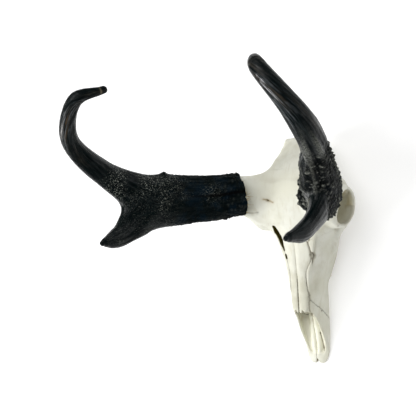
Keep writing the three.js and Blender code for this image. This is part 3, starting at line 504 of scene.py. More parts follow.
class Web:
    """Short ways to write a node tree."""

    def __init__(self, nt):
        self.nt = nt

    def new(self, kind, **kw):
        n = self.nt.nodes.new(kind)
        for k, v in kw.items():
            setattr(n, k, v)
        return n

    def put(self, sock, v):
        if isinstance(v, bpy.types.NodeSocket):
            self.nt.links.new(v, sock)
        else:
            sock.default_value = v

    def attr(self, name, out="Fac"):
        return self.new("ShaderNodeAttribute", attribute_name=name).outputs[out]

    def coords(self):
        return self.new("ShaderNodeTexCoord").outputs["Object"]

    def noise(self, vec, scale, detail=3.0, rough=0.55, dist=0.0):
        n = self.new("ShaderNodeTexNoise")
        self.put(n.inputs["Vector"], vec)
        n.inputs["Scale"].default_value = scale
        n.inputs["Detail"].default_value = detail
        n.inputs["Roughness"].default_value = rough
        n.inputs["Distortion"].default_value = dist
        return n.outputs["Fac"]

    def voronoi(self, vec, scale, feature="F1"):
        n = self.new("ShaderNodeTexVoronoi", feature=feature)
        self.put(n.inputs["Vector"], vec)
        n.inputs["Scale"].default_value = scale
        return n.outputs["Distance"]

    def math(self, op, a, b=0.0, c=0.0, cl=False):
        n = self.new("ShaderNodeMath", operation=op, use_clamp=cl)
        for s, v in zip(n.inputs, (a, b, c)):
            self.put(s, v)
        return n.outputs[0]

    def ramp(self, fac, lo, hi, a=0.0, b=1.0):
        n = self.new("ShaderNodeMapRange", interpolation_type="SMOOTHSTEP")
        self.put(n.inputs["Value"], fac)
        for k, v in (("From Min", lo), ("From Max", hi), ("To Min", a), ("To Max", b)):
            n.inputs[k].default_value = v
        return n.outputs["Result"]

    def mix(self, fac, a, b, blend="MIX"):
        n = self.new("ShaderNodeMix", data_type="RGBA", blend_type=blend)
        self.put(n.inputs["Factor"], fac)
        self.put(n.inputs[6], a)
        self.put(n.inputs[7], b)
        return n.outputs[2]

    def scale(self, vec, s):
        n = self.new("ShaderNodeMapping")
        self.put(n.inputs["Vector"], vec)
        n.inputs["Scale"].default_value = s
        return n.outputs["Vector"]

    def bump(self, height, strength, distance, normal=None):
        n = self.new("ShaderNodeBump")
        self.put(n.inputs["Height"], height)
        n.inputs["Strength"].default_value = strength
        n.inputs["Distance"].default_value = distance
        if normal is not None:
            self.put(n.inputs["Normal"], normal)
        return n.outputs["Normal"]


def srgb(r, g, b):
    f = lambda c: c / 255 / 12.92 if c / 255 <= 0.04045 else ((c / 255 + 0.055) / 1.055) ** 2.4
    return (f(r), f(g), f(b), 1.0)


def bone_material():
    mat, nt, bsdf = nodes_of("dry_bone")
    w = Web(nt)
    co = w.coords()
    big = w.noise(co, 28, 3, 0.5)
    mid_ = w.noise(co, 95, 4, 0.6)
    fine = w.noise(co, 700, 3, 0.6)
    col = w.mix(w.ramp(big, 0.35, 0.68), srgb(227, 227, 215), srgb(215, 214, 197))
    col = w.mix(w.math("MULTIPLY", w.ramp(mid_, 0.55, 0.8), 0.35), col, srgb(200, 194, 170))
    # grey-green film in patches, as on weathered bone
    film = w.math("MULTIPLY", w.ramp(w.noise(co, 46, 4, 0.6, 0.4), 0.52, 0.75), 0.22)
    col = w.mix(film, col, srgb(184, 188, 174))
    # long faint grain from the forehead to the nose
    grainy = w.ramp(w.noise(w.scale(co, (1.0, 0.14, 0.7)), 240, 4, 0.6, 0.3), 0.5, 0.72)
    col = w.mix(w.math("MULTIPLY", grainy, 0.34), col, srgb(194, 188, 164))
    # fine pores and short hair cracks
    pores = w.ramp(w.voronoi(co, 620), 0.02, 0.2, 1.0, 0.0)
    col = w.mix(w.math("MULTIPLY", pores, w.ramp(w.noise(co, 60, 2), 0.5, 0.75, 0.0, 0.35)), col, srgb(170, 158, 128))
    col = w.mix(w.math("MULTIPLY", w.attr("grey"), w.ramp(mid_, 0.3, 0.6, 0.35, 0.8)), col, srgb(186, 183, 162))
    # painted light: paler bone inside the nose and eye hollows and on the top of the skull
    col = w.mix(w.attr("painted_fill_light"), col, srgb(241, 240, 222))
    # painted shade: darker beige inside the eye hollow
    col = w.mix(w.attr("painted_socket_shade"), col, srgb(190, 180, 144))
    col = w.mix(w.math("MULTIPLY", w.attr("stain"), w.ramp(mid_, 0.3, 0.62, 0.55, 1.0)), col, srgb(160, 138, 96))
    col = w.mix(w.attr("tooth"), col, w.mix(w.ramp(w.noise(w.scale(co, (1, 1, 0.25)), 420, 3), 0.4, 0.66), srgb(226, 221, 200), srgb(150, 128, 92)))
    crumbs = w.ramp(w.noise(co, 900, 3, 0.7), 0.4, 0.65)
    col = w.mix(w.attr("fillin"), col, w.mix(crumbs, srgb(120, 116, 98), srgb(186, 182, 162)))
    # painted shade in creases and recesses
    col = w.mix(w.attr("painted_crevice_shade"), col, srgb(150, 136, 104))
    # cracks and sutures darkened with dirt, and painted shade along the slots in the nose
    col = w.mix(w.attr("dark_lines_and_painted_shade"), col, srgb(84, 74, 56))
    # painted shade in deep recesses and inside the slit and the pit
    col = w.mix(w.attr("painted_deep_shade"), col, srgb(60, 53, 14))
    w.put(bsdf.inputs["Base Color"], col)
    w.put(bsdf.inputs["Roughness"], w.ramp(mid_, 0.3, 0.7, 0.46, 0.62))
    w.put(bsdf.inputs["Specular IOR Level"], w.ramp(w.attr("painted_deep_shade"), 0.0, 1.0, 0.38, 0.0))
    grain = w.noise(w.scale(co, (1.0, 0.35, 1.0)), 420, 4, 0.65)
    n = w.bump(grain, 0.35, 0.0004)
    n = w.bump(fine, 0.25, 0.00025, n)
    n = w.bump(pores, 0.22, -0.0003, n)
    w.put(bsdf.inputs["Normal"], n)
    return mat


def horn_material():
    mat, nt, bsdf = nodes_of("horn_sheath")
    w = Web(nt)
    co = w.coords()
    g1, g2 = w.attr("grain", "Vector"), w.attr("grain2", "Vector")  # along and round the beam, and the prong
    on = w.attr("prong")
    rough = w.attr("rough")

    def fibres(stretch, scale, detail, soft):
        a = w.noise(w.scale(g1, (stretch, 1.0, 1.0)), scale, detail, soft)
        b = w.noise(w.scale(g2, (stretch, 1.0, 1.0)), scale, detail, soft)
        return w.math("ADD", w.math("MULTIPLY", a, w.math("SUBTRACT", 1.0, on)), w.math("MULTIPLY", b, on))

    fib = fibres(0.05, 1500, 4, 0.65)
    fib2 = fibres(0.08, 420, 4, 0.6)
    col = w.mix(w.ramp(fib, 0.38, 0.66), srgb(2, 7, 8), srgb(7, 17, 18))
    col = w.mix(w.math("MULTIPLY", w.ramp(fib2, 0.48, 0.74), 0.6), col, srgb(13, 25, 26))
    # bluish bloom low on the blade
    bloom = w.math("MULTIPLY", w.ramp(w.noise(co, 60, 3, 0.6), 0.45, 0.7), rough)
    col = w.mix(w.math("MULTIPLY", bloom, 0.8), col, srgb(7, 26, 38))
    # grey crust on the warts
    crust = w.math("MULTIPLY", w.attr("crest"), w.ramp(w.noise(co, 850, 4, 0.75), 0.36, 0.60))
    col = w.mix(w.math("MULTIPLY", crust, 0.95), col, srgb(152, 154, 145))
    # pale dry hairs and flecks
    hair = w.noise(w.scale(co, (1.0, 1.0, 0.45)), 1050, 2, 0.5, 1.2)
    fleck = w.math("MULTIPLY", w.ramp(hair, 0.60, 0.655), w.attr("pale"))
    col = w.mix(w.math("MULTIPLY", fleck, 0.9), col, srgb(150, 154, 144))
    # brown, abraded horn towards the hook; on the right hook a tan patch is painted highlight
    wear_and_glint_mix = w.math("MULTIPLY", w.attr("wear_and_painted_glint"), w.ramp(fib2, 0.40, 0.66))
    col = w.mix(w.math("MULTIPLY", wear_and_glint_mix, 0.85), col, srgb(112, 86, 54))
    col = w.mix(w.attr("ring"), col, srgb(150, 140, 116))
    # painted shade between the warts and in the furrow
    col = w.mix(w.attr("painted_crevice_shade"), col, srgb(5, 5, 5))
    gl = w.math("ADD", w.math("MULTIPLY", rough, 0.36), w.ramp(fib, 0.3, 0.7, 0.17, 0.30))
    w.put(bsdf.inputs["Roughness"], gl)
    shine = w.math("MULTIPLY", w.ramp(fib2, 0.36, 0.66, 0.03, 0.18), w.ramp(rough, 0.1, 0.75, 1.0, 0.3))
    # streaks high on the beam: more specular, and tinted blue-grey as a painted highlight
    rubbed_and_painted_highlight = w.math("MULTIPLY", w.attr("polish_and_painted_highlight"), w.ramp(fibres(0.03, 900, 3, 0.6), 0.49, 0.62, 0.0, 0.8))
    w.put(bsdf.inputs["Specular IOR Level"], w.math("ADD", shine, rubbed_and_painted_highlight))
    # painted highlight: blue-grey colour along the streaks
    col = w.mix(w.math("MULTIPLY", rubbed_and_painted_highlight, 0.55), col, srgb(92, 100, 106))
    w.put(bsdf.inputs["Base Color"], col)
    n = w.bump(fib, 0.4, 0.0005)
    n = w.bump(fib2, 0.38, 0.001, n)
    n = w.bump(w.math("MULTIPLY", w.noise(co, 800, 4, 0.65), rough), 0.8, 0.0012, n)
    w.put(bsdf.inputs["Normal"], n)
    return mat


BONE_MAT, HORN_MAT = bone_material(), horn_material()


# ------------------------------------------------------------------ bones
def along(P, pts):
    """Distance from points to a polyline."""
    best = np.full(len(P), 1e9)
    q = np.array(pts, float)[:, :3]
    for a, b in zip(q[:-1], q[1:]):
        t = np.clip((P - a) @ (b - a) / ((b - a) @ (b - a)), 0, 1)
        best = np.minimum(best, np.linalg.norm(P - a - t[:, None] * (b - a), axis=1))
    return best


def grid_at(G, P):
    return sample(np.broadcast_to(G, S.shape), P, LO, H)


pieces = []
for name, cut in BONES.items():
    lo_m, hi_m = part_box(name)
    a = np.array(lo_m) * 1000 - SHIFT - 9
    b = np.array(hi_m) * 1000 - SHIFT + 9
    i0 = np.maximum(((a - LO) / H).astype(int), 0)
    i1 = np.minimum(((b - LO) / H).astype(int) + 2, S.shape)
    sl = tuple(slice(p, q) for p, q in zip(i0, i1))
    full = cut(S)
    sub = np.full(tuple(i1 - i0 + 2), 3.0, F32)
    sub[1:-1, 1:-1, 1:-1] = full[sl]
    del full
    P, Q = polygons(sub, LO + (i0 - 1) * H, H)
    P, Q = compact(P, Q)
    # pull the rims back out to the true surface, so that the seams stay fine
    s = sample(S, P, LO, H)
    g = slope(S, P, LO, H)
    near = (np.abs(s) < 0.7)[:, None]
    P = np.where(near, P - g * s[:, None], P)
    X = np.abs(P[:, 0])
    # painted shade: the bone colour is darkened where nearby surfaces close it in, in creases and recesses
    out3, out8 = sample(S, P + 3 * g, LO, H), sample(S, P + 9 * g, LO, H)
    painted_crevice_shade = np.clip(1 - out3 / 2.6, 0, 1) * 0.75 + np.clip(1 - out8 / 7.5, 0, 1) * 0.35
    h, q = axial(X, P[:, 1], P[:, 2])
    orbit_in = step((RING - 1.0 - q) / 2.5) * step((3 - h) / 5) * (h > -40)
    nose_in = step((-nose_hollow(X, P[:, 1], P[:, 2], side_width(P[:, 1], P[:, 2])) + 1.2) / 1.6) * (P[:, 1] < -86)
    # painted light: the bone inside the nose and eye hollows is painted paler to lift their shade
    painted_fill_light = np.clip(0.85 * orbit_in + 0.9 * nose_in, 0, 1)
    stain = 0.55 * np.exp(-(along(P, SLIT) / 2.0) ** 2) + 0.25 * np.exp(-(along(P, CRACK) / 1.3) ** 2)
    plan = along(P * np.array([1, 1, 0]), STREAK)
    stain = stain + (P[:, 2] > 88) * (0.7 * np.exp(-(plan / 0.9) ** 2) + 0.25 * np.exp(-(plan / 3.6) ** 2))
    stain = stain + 0.5 * nose_in * step((-131 - P[:, 1]) / 5) * step((P[:, 1] + 152) / 12) * np.clip(0.3 + 0.9 * noise(P, 4.0, 31), 0, 1)
    painted_crevice_shade = painted_crevice_shade * (1 - 0.7 * painted_fill_light) * (1 - 0.75 * nose_in)
    t_d = teeth(X, P[:, 1], P[:, 2])
    tooth_a = step((0.6 - t_d) / 0.8) * step((12.5 - P[:, 2]) / 2.0)
    # painted shade: deep recesses and the inside of the slit and the pit are painted a deep olive-brown
    painted_deep_shade = np.clip((out3 < 0.9) * (out8 < 2.5) * (s > -0.5) * 1.0, 0, 1) * (1 - painted_fill_light) * np.where(P[:, 1] < -130, 0.35, 0.8)
    for gap in (SLIT, PIT):
        for n in (0, 2, 4):
            painted_deep_shade = np.maximum(painted_deep_shade, step((1.0 - rods(P[:, 0] - 0.9 * n, P[:, 1] - 0.2 * n, P[:, 2] + 1.6 * n, gap, 1)) / 0.6))
    dark_lines_and_painted_shade = 0.9 * np.exp(-(along(P, CRACK) / 0.8) ** 2)
    # painted shade: the slots inside the nose are darkened along the edge of the wall beside them
    for groove in SLOTS:
        dark_lines_and_painted_shade = np.maximum(dark_lines_and_painted_shade, 0.6 * np.exp(-(along(P, groove) / 0.8) ** 2))
    dark_lines_and_painted_shade = np.maximum(dark_lines_and_painted_shade, 0.6 * np.exp(-(along(P, FOLD) / 0.8) ** 2))
    keep = np.maximum(0.8 * (along(P, SLOTS[0]) < 2.5), 0.8 * (along(P, SLOTS[1]) < 2.5))
    fillin = np.exp(-(along(P, [[19.4, -66.4, 64.4], [20.6, -68.2, 61.4]]) / 3.4) ** 4)
    # dirt in the sutures of the face
    seam = np.minimum(np.abs(grid_at(nasal_room, P)), 9)
    seam = np.where(P[:, 1] < -40, seam, 9)
    front_seam = np.where("maxilla" in name, np.abs(grid_at(premax, P)), 9)
    mid_seam = np.where(P[:, 2] > 40, np.abs(grid_at(mid, P)) + 3 * step((P[:, 1] + 99) / 14), 9)
    dirt = np.clip(0.62 + 0.5 * noise(P, 5.0, 77), 0, 1)
    for dist, wide in ((seam, 0.55), (front_seam, 0.5), (mid_seam, 0.75)):
        dark_lines_and_painted_shade = np.maximum(dark_lines_and_painted_shade, 0.75 * dirt * np.exp(-(dist / wide) ** 2))
    dark_lines_and_painted_shade = np.clip(dark_lines_and_painted_shade * (1 - painted_fill_light * (1 - keep)), 0, 1)
    grey = np.maximum(step((-58 - P[:, 1]) / 44) * step((P[:, 2] - 38) / 10), 0.55 * step((P[:, 1] - 32) / 18)) * np.clip(0.5 + 0.5 * noise(P * np.array([1, 0.45, 1]), 6.0, 21), 0, 1) * (1 - painted_fill_light)
    # fine waviness of the surface
    wob = 0.16 * noise(P, 6.0, 3) + 0.07 * noise(P, 2.4, 5) + fillin * (0.5 + 0.9 * noise(P, 1.7, 9))
    flat_ = step((P[:, 2] - FLOOR_Z - 0.3) / 1.5)
    P = P + g * (wob * flat_)[:, None] * near
    P[:, 2] = np.maximum(P[:, 2], FLOOR_Z)
    # painted light: a paler patch on the top of the skull between the horns
    painted_top_light = np.exp(-((P[:, 0] + 6) / 26) ** 2 - ((P[:, 1] - 12) / 19) ** 2) * (P[:, 2] > 80)
    painted_fill_light = np.clip(painted_fill_light + 0.8 * painted_top_light, 0, 1)
    P[:, 0] -= 2.6 * step((P[:, 1] - 14) / 46)  # the back of the skull sits a little askew
    ob = make("bone_" + name, P, Q, BONE_MAT, {"painted_crevice_shade": np.clip(painted_crevice_shade, 0, 1) * 0.85, "painted_fill_light": painted_fill_light, "stain": np.clip(stain, 0, 1), "tooth": tooth_a, "painted_deep_shade": painted_deep_shade, "dark_lines_and_painted_shade": dark_lines_and_painted_shade, "fillin": fillin, "painted_socket_shade": 0.7 * orbit_in, "grey": grey})
    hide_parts(name)
    pieces.append(ob)

# ------------------------------------------------------------------ horn sheaths
def path_of(pts, long, thick, fore, n):
    out = []
    ref = np.array(fore, float)
    for i in range(n):
        u = i / (n - 1)
        p, t = catmull(pts, u)
        f = u * (len(pts) - 1)
        j = min(int(f), len(pts) - 2)
        e = f - j
        m = 0.4 * (e * e * (3 - 2 * e)) + 0.6 * e
        a = ref - t * (t @ ref)
        a /= np.linalg.norm(a)
        out.append((p, a, long[j] + (long[j + 1] - long[j]) * m, thick[j] + (thick[j + 1] - thick[j]) * m))
    return out


BEAM_PATH = path_of(BEAM, BEAM_LONG, BEAM_THICK, (0, -1, 0), 64)
PRONG_PATH = path_of(PRONG, PRONG_LONG, PRONG_THICK, (0.35, 0.5, 0.8), 28)
BEAM_AT = np.concatenate([[0], np.cumsum([np.linalg.norm(BEAM_PATH[i + 1][0] - BEAM_PATH[i][0]) for i in range(63)])])
PRONG_AT = np.concatenate([[0], np.cumsum([np.linalg.norm(PRONG_PATH[i + 1][0] - PRONG_PATH[i][0]) for i in range(27)])])


def beam_field(P, path, at):
    """Distance to an oval beam, place along it, and direction round it."""
    best = np.full(len(P), 1e12, F32)
    out, where, ang = np.full(len(P), 1e6, F32), np.zeros(len(P), F32), np.zeros(len(P), F32)
    P = P.astype(F32)
    for i in range(len(path) - 1):
        (p0, a0, l0, t0), (p1, a1, l1, t1) = path[i], path[i + 1]
        d = (p1 - p0).astype(F32)
        R = P - p0.astype(F32)
        t = np.clip(R @ d / F32(d @ d), 0, 1)
        R = R - t[:, None] * d
        far = (R * R).sum(1)
        hit = far < best
        if not hit.any():
            continue
        R, t, fr = R[hit], t[hit], far[hit]
        best[hit] = fr
        a = a0.astype(F32) + t[:, None] * (a1 - a0).astype(F32)
        L, T = F32(l0) + t * F32(l1 - l0), F32(t0) + t * F32(t1 - t0)
        m = (R * a).sum(1)
        r = np.sqrt(np.maximum(fr - m * m, 0))
        k = np.sqrt((m / L) ** 2 + (r / T) ** 2)
        k1 = np.sqrt((m / L ** 2) ** 2 + (r / T ** 2) ** 2)
        out[hit] = np.where(k1 < 1e-7, -T, k * (k - 1) / np.maximum(k1, 1e-7))
        where[hit] = at[i] + t * (at[i + 1] - at[i])
        side = np.cross(a, d / np.linalg.norm(d))
        ang[hit] = np.arctan2((R * side).sum(1) / T, m / L)
    return out, where, ang


def horn_field(P):
    return smin(beam_field(P, BEAM_PATH, BEAM_AT)[0], beam_field(P, PRONG_PATH, PRONG_AT)[0], 17)


hlo, hhi = np.array([28.0, -96.0, 78.0]), np.array([160.0, 100.0, 356.0])
COARSE = 4.0
nc = np.ceil((hhi - hlo) / COARSE).astype(int) + 1
cg = np.stack(np.meshgrid(*[hlo[i] + np.arange(nc[i]) * COARSE for i in range(3)], indexing="ij"), -1)
rough_f = horn_field(cg.reshape(-1, 3)).reshape(nc)
nf = ((nc - 1) * COARSE / HH).astype(int)
fine_f = rough_f
for axis in range(3):
    pos = np.arange(nf[axis]) * HH / COARSE
    i = np.minimum(pos.astype(int), nc[axis] - 2)
    t = (pos - i).astype(F32).reshape([-1 if k == axis else 1 for k in range(3)])
    fine_f = np.take(fine_f, i, axis) * (1 - t) + np.take(fine_f, i + 1, axis) * t
fine_f = fine_f.astype(F32)
band = np.argwhere(np.abs(fine_f) < 3.4)
for k in range(0, len(band), 200000):
    b = band[k:k + 200000]
    fine_f[b[:, 0], b[:, 1], b[:, 2]] = horn_field(hlo + b * HH)
hx = [(hlo[i] + np.arange(nf[i]) * HH).astype(F32) for i in range(3)]
base_cut = -((hx[0].reshape(-1, 1, 1) - F32(root[0])) * F32(root_dir[0]) + (hx[1].reshape(1, -1, 1) - F32(root[1])) * F32(root_dir[1]) + (hx[2].reshape(1, 1, -1) - F32(root[2])) * F32(root_dir[2]))
fine_f = np.maximum(fine_f, base_cut)
HP, HQ = polygons(fine_f, hlo, HH)
HP, HQ = compact(HP, HQ)
HG = slope(fine_f, HP, hlo, HH)
bd, bs, ba = beam_field(HP, BEAM_PATH, BEAM_AT)
pd_, ps, pa = beam_field(HP, PRONG_PATH, PRONG_AT)
on_prong = step((bd - pd_ + 5) / 10) * step((ps - 8) / 26)
height = (HP - root) @ root_dir  # above the sheath's rim

inward = step((np.sin(ba) + 0.15) / 0.5)  # 1 on the face turned to the other horn
flank = np.abs(np.sin(ba))
for side, sgn, seed in (("left", 1, 11), ("right", -1, 41)):
    P = HP.copy()
    # how rough: warty at the root and along both edges, smooth above the fork
    low = step((170 - bs) / 110) * (1 - on_prong)
    patch = 0.5 + 0.5 * noise(P, 22.0, seed + 30)
    # on the left horn the warts climb past the fork on the outer side
    outer = step(-np.sin(ba) / 0.5)
    reach = 216 - 26 * step((np.sin(ba) - 0.2) / 0.5) if side == "left" else 60
    base = step((reach - bs + 34 * (patch - 0.5)) / 36) * (1 - on_prong * step((ps - 22 - 24 * outer) / 22))
    if side == "right":
        base = base * (1 - 0.72 * inward * step((flank - 0.2) / 0.4))
    edge = step((np.abs(np.cos(ba)) - 0.55) / 0.35) * step((150 - bs) / 50) * (1 - on_prong)
    knob, _ = bumps(P, 5.0, seed)
    knob2, _ = bumps(P, 2.7, seed + 20)
    fibre = noise(np.stack([bs / 26.0, ba * 7.0, 0 * bs], 1), 1.0, seed + 3)
    fibre2 = noise(np.stack([bs / 60.0, ba * 2.6, 0 * bs], 1), 1.0, seed + 5)
    pfib = noise(np.stack([ps / 26.0, pa * 5.0, 0 * ps], 1), 1.0, seed + 4)
    front = step((np.cos(ba) - 0.5) / 0.4) * step((bs - 140) / 25)
    d = base * (1 - 0.4 * front) * (2.7 * knob + 1.9 * knob2 - 1.5 + 1.2 * inward) + 0.45 * edge * patch * (1.8 * knob + 1.2 * knob2)
    d += (0.16 + 0.34 * low) * fibre * (1 - on_prong) + 0.4 * low * fibre2 + 0.18 * on_prong * pfib
    d += 0.12 * noise(P, 4.0, seed + 6) * (1 - low) + 0.4 * low * noise(P, 3.2, seed + 26) + 0.7 * low * (1 - base) * (knob2 - 0.25)
    # a long furrow up the inward face of the blade
    d -= 1.9 * low * np.exp(-((ba - 1.62 - 0.05 * fibre2) / 0.085) ** 2) * step((120 - bs) / 70)
    furrow = low * np.exp(-((ba - 1.62 - 0.05 * fibre2) / 0.07) ** 2) * step((120 - bs) / 70)
    # the root swells on its inward face
    d += (11.0 if side == "left" else 3.0) * step((70 - bs) / 52) * step((np.sin(ba) - 0.1) / 0.8) * step(height / 12)
    if side == "left":  # ridges run up the front, and a warty ridge up the inward edge
        ridge = noise(np.stack([bs / 34.0, ba * 4.2, 0 * bs], 1), 1.0, seed + 23) * step((bs - 120) / 30) * step((240 - bs) / 30) * (1 - on_prong)
        d += 1.2 * ridge
        d += 6.8 * step((bs - 104) / 34) * step((200 - bs) / 30) * step((np.sin(ba) - 0.25) / 0.6) * (1 - on_prong)
        d += 3.4 * step((bs - 112) / 50) * step((275 - bs) / 50) * step((-np.sin(ba) - 0.15) / 0.75) * (1 - on_prong)
    else:  # a knob on the hind edge
        ridge = 0 * bs
        d += 2.4 * np.exp(-((bs - 113) / 4.5) ** 2) * np.exp(-((ba - 2.85) / 0.25) ** 2)
        # the prong is fuller along its front edge
        d += (2.8 * np.exp(-((ps - 60) / 20) ** 2) + 1.3 * np.exp(-((ps - 103) / 8) ** 2)) * step((-np.cos(pa) - 0.1) / 0.7) * on_prong
    d += (0.4 * step((ps - 78) / 26) + 1.5 * np.exp(-((ps - 90) / 15) ** 2) - 1.1 * step((ps - PRONG_AT[-1] + 5) / 5)) * on_prong  # blunt tip
    rim = step((height - 0.2) / 3.0)
    P = P + HG * (d * (0.3 + 0.7 * rim))[:, None]
    # ragged, rounded lower rim
    jagr = 1.6 * noise(np.stack([ba * 4.0, 0 * ba, 0 * ba], 1), 1.0, seed + 7) + 0.9 * noise(np.stack([ba * 13.0, 0 * ba, 0 * ba], 1), 1.0, seed + 17)
    P = P + root_dir * ((1 - step(height / 7)) * np.maximum(jagr + 0.5, -0.15))[:, None]
    r_loc = np.interp(bs, BEAM_AT, [0.5 * (p[2] + p[3]) for p in BEAM_PATH])
    # sine and cosine keep the grain unbroken round the horn
    grain = np.stack([bs, np.cos(ba) * r_loc, np.sin(ba) * r_loc], 1) / 1000.0
    grain2 = np.stack([ps, np.cos(pa) * 9.0, np.sin(pa) * 9.0], 1) / 1000.0
    streak = noise(np.stack([bs / 45, ba * 1.3, 0 * ba], 1), 1.0, seed + 8)
    wear_and_painted_glint = step((bs - 205) / 50) * (1 - on_prong) * np.clip(0.22 * streak, 0, 1)
    # painted highlight: a tan patch on the right hook where the highlight falls
    wear_and_painted_glint = np.maximum(wear_and_painted_glint, (0.9 if side == "right" else 0.0) * np.exp(-((ba + 0.3) / 0.32) ** 2) * np.exp(-((bs - 266) / 13) ** 2))
    ring = np.exp(-((bs - BEAM_AT[-1] + 4.5) / 1.1) ** 2) * np.clip(0.25 + 0.5 * noise(P, 3.0, seed + 12), 0, 1)
    # streaks high on the beam: more specular, and painted with a highlight colour
    polish_and_painted_highlight = step((bs - 228) / 30) * step((316 - bs) / 20) * np.exp(-((ba + 0.2) / 0.95) ** 2) * (1.0 if side == "left" else 0.7)
    pale = step((bs - 72 - 46 * (patch - 0.5)) / 40) * step((200 - bs) / 24) * step((patch - 0.1) / 0.45) * (1 - 0.8 * on_prong) * (1 - 0.8 * base) * (1.0 if side == "right" else 0.3)
    if side == "right":
        pale = np.maximum(pale, 0.75 * np.exp(-((bs - 54) / 13) ** 2) * np.exp(-((ba - 1.75) / 0.4) ** 2))
    # painted shade: near-black between the warts and down the furrow
    painted_crevice_shade = np.clip(np.clip(0.62 - 0.6 * (knob + 0.7 * knob2), 0, 1) * base + 0.8 * furrow, 0, 1)
    if sgn < 0:
        P = P * np.array([-1, 1, 1])
    Q = HQ if sgn > 0 else HQ[:, ::-1]
    ob = make("sheath_" + side, P, Q, HORN_MAT, {"grain": grain, "grain2": grain2, "prong": on_prong, "rough": np.clip(0.75 * low + 0.6 * base, 0, 1), "crest": np.maximum(np.clip(1.6 * (knob + 0.7 * knob2) - 0.15, 0, 1) * base * ((1 - 0.6 * outer * step((125 - bs) / 40)) if side == "left" else 0.35), np.clip(0.9 * ridge, 0, 0.6)), "pale": pale, "wear_and_painted_glint": wear_and_painted_glint, "polish_and_painted_highlight": polish_and_painted_highlight, "ring": ring, "painted_crevice_shade": painted_crevice_shade})
    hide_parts("horn_" + side, "horn_" + side + "_prong")
    pieces.append(ob)

# ------------------------------------------------------------------ dry hairs at the rims of the sheaths
def hair_material():
    mat, nt, bsdf = nodes_of("dry_hair")
    w = Web(nt)
    tone = w.noise(w.coords(), 600, 3, 0.6)
    w.put(bsdf.inputs["Base Color"], w.mix(w.ramp(tone, 0.35, 0.65), srgb(120, 92, 48), srgb(196, 168, 104)))
    w.put(bsdf.inputs["Roughness"], w.ramp(tone, 0.3, 0.7, 0.5, 0.7))
    w.put(bsdf.inputs["Normal"], w.bump(w.noise(w.coords(), 3000, 2), 0.3, 0.0001))
    return mat


HAIR_MAT = hair_material()
for side, sgn, seed in (("left", 1, 5), ("right", -1, 6)):
    rs = np.random.RandomState(seed)
    PP, QQ = [], []
    for n in range(22):
        ang = 1.15 + 0.12 * rs.randn() if n < 9 else rs.uniform(-0.6, 2.6)
        size = rs.uniform(4.5, 7.0) if n < 9 else rs.uniform(2.0, 3.6)
        p, a, L, T = BEAM_PATH[2]
        across = np.cross(a, root_dir)
        radial = a * math.cos(ang) + across * math.sin(ang)
        at = p + a * (math.cos(ang) * L) + across * (math.sin(ang) * T)
        at = at - root_dir * ((at - root) @ root_dir - 0.6) - radial * 0.6
        way = -root_dir * rs.uniform(0.5, 1.0) + radial * rs.uniform(0.35, 0.7) + 0.35 * rs.randn(3)
        way /= np.linalg.norm(way)
        bend = 0.5 * rs.randn(3) - root_dir * 0.3
        u = np.cross(way, radial)
        u /= np.linalg.norm(u)
        v = np.cross(way, u)
        k0 = sum(len(q) for q in PP)
        ring_pts = []
        for j in range(6):
            t = j / 5
            c = at + way * (size * t) + bend * (size * 0.35 * t * t)
            rad = 0.26 * (1 - 0.75 * t)
            ring_pts += [c + u * rad, c + v * rad, c - u * rad, c - v * rad]
        PP.append(np.array(ring_pts))
        for j in range(5):
            for e in range(4):
                b0, b1 = k0 + 4 * j + e, k0 + 4 * j + (e + 1) % 4
                QQ.append([b0, b1, b1 + 4, b0 + 4])
        QQ += [[k0 + 3, k0 + 2, k0 + 1, k0], [k0 + 20, k0 + 21, k0 + 22, k0 + 23]]
    P, Q = np.concatenate(PP), np.array(QQ)
    if sgn < 0:
        P, Q = P * np.array([-1, 1, 1]), Q[:, ::-1]
    ob = make("hairs_" + side, P, Q, HAIR_MAT, {})

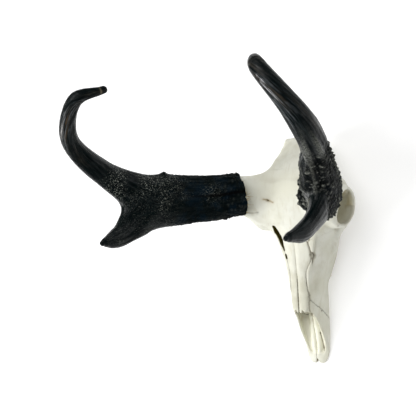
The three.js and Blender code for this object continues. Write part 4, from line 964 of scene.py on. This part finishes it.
# ------------------------------------------------------------------ floor, light, camera
fm, fnt, fb = nodes_of("pale_floor")
fb.inputs["Base Color"].default_value = (0.72, 0.72, 0.72, 1)
fb.inputs["Roughness"].default_value = 0.9
fb.inputs["Emission Color"].default_value = (1, 1, 1, 1)
fb.inputs["Emission Strength"].default_value = 0.4
me = bpy.data.meshes.new("floor")
me.from_pydata([(-6, -6, 0), (6, -6, 0), (6, 6, 0), (-6, 6, 0)], [], [(0, 1, 2, 3)])
floor = bpy.data.objects.new("floor", me)
scene.collection.objects.link(floor)
floor.data.materials.append(fm)

world = bpy.data.worlds.new("studio")
scene.world = world
world.use_nodes = True
world.node_tree.nodes["Background"].inputs["Color"].default_value = (1, 1, 1, 1)
world.node_tree.nodes["Background"].inputs["Strength"].default_value = 0.34


def area(name, loc, target, size, power, tall=0.0):
    l = bpy.data.lights.new(name, "AREA")
    l.shape = "RECTANGLE" if tall else "DISK"
    l.size = size
    if tall:
        l.size_y = tall
    l.energy = power
    o = bpy.data.objects.new(name, l)
    o.location = loc
    d = np.array(target, float) - np.array(loc, float)
    z = -d / np.linalg.norm(d)
    x = np.cross([0, 0, 1] if tall else [0, 1, 0.01], z)
    x /= np.linalg.norm(x)
    y = np.cross(z, x)
    o.matrix_world = Matrix(((x[0], y[0], z[0], loc[0]), (x[1], y[1], z[1], loc[1]), (x[2], y[2], z[2], loc[2]), (0, 0, 0, 1)))
    scene.collection.objects.link(o)


area("key", (-0.35, -0.95, 1.55), (0, 0, 0.1), 1.7, 8)
area("side", (-1.25, -0.65, 1.15), (0.05, 0.08, 0.33), 0.6, 20, 1.1)
area("top", (0.05, 0.8, 1.9), (0, 0, 0.1), 1.6, 18)

cam = bpy.data.cameras.new("camera")
cam.sensor_fit = "HORIZONTAL"
cam.sensor_width = 36.0
cam.lens = 65.65
cam.clip_start = 0.01
co = bpy.data.objects.new("camera", cam)
right, down, fwd = np.array([0.79586, 0.05355, -0.60311]), np.array([-0.04852, -0.98724, -0.15168]), np.array([-0.60354, 0.14998, -0.78310])
C = (np.array([469.425, -154.075, 855.985]) + SHIFT) / 1000
co.matrix_world = Matrix([[right[i], -down[i], -fwd[i], C[i]] for i in range(3)] + [[0, 0, 0, 1]])
scene.collection.objects.link(co)
scene.camera = co
scene.view_settings.view_transform = "Standard"
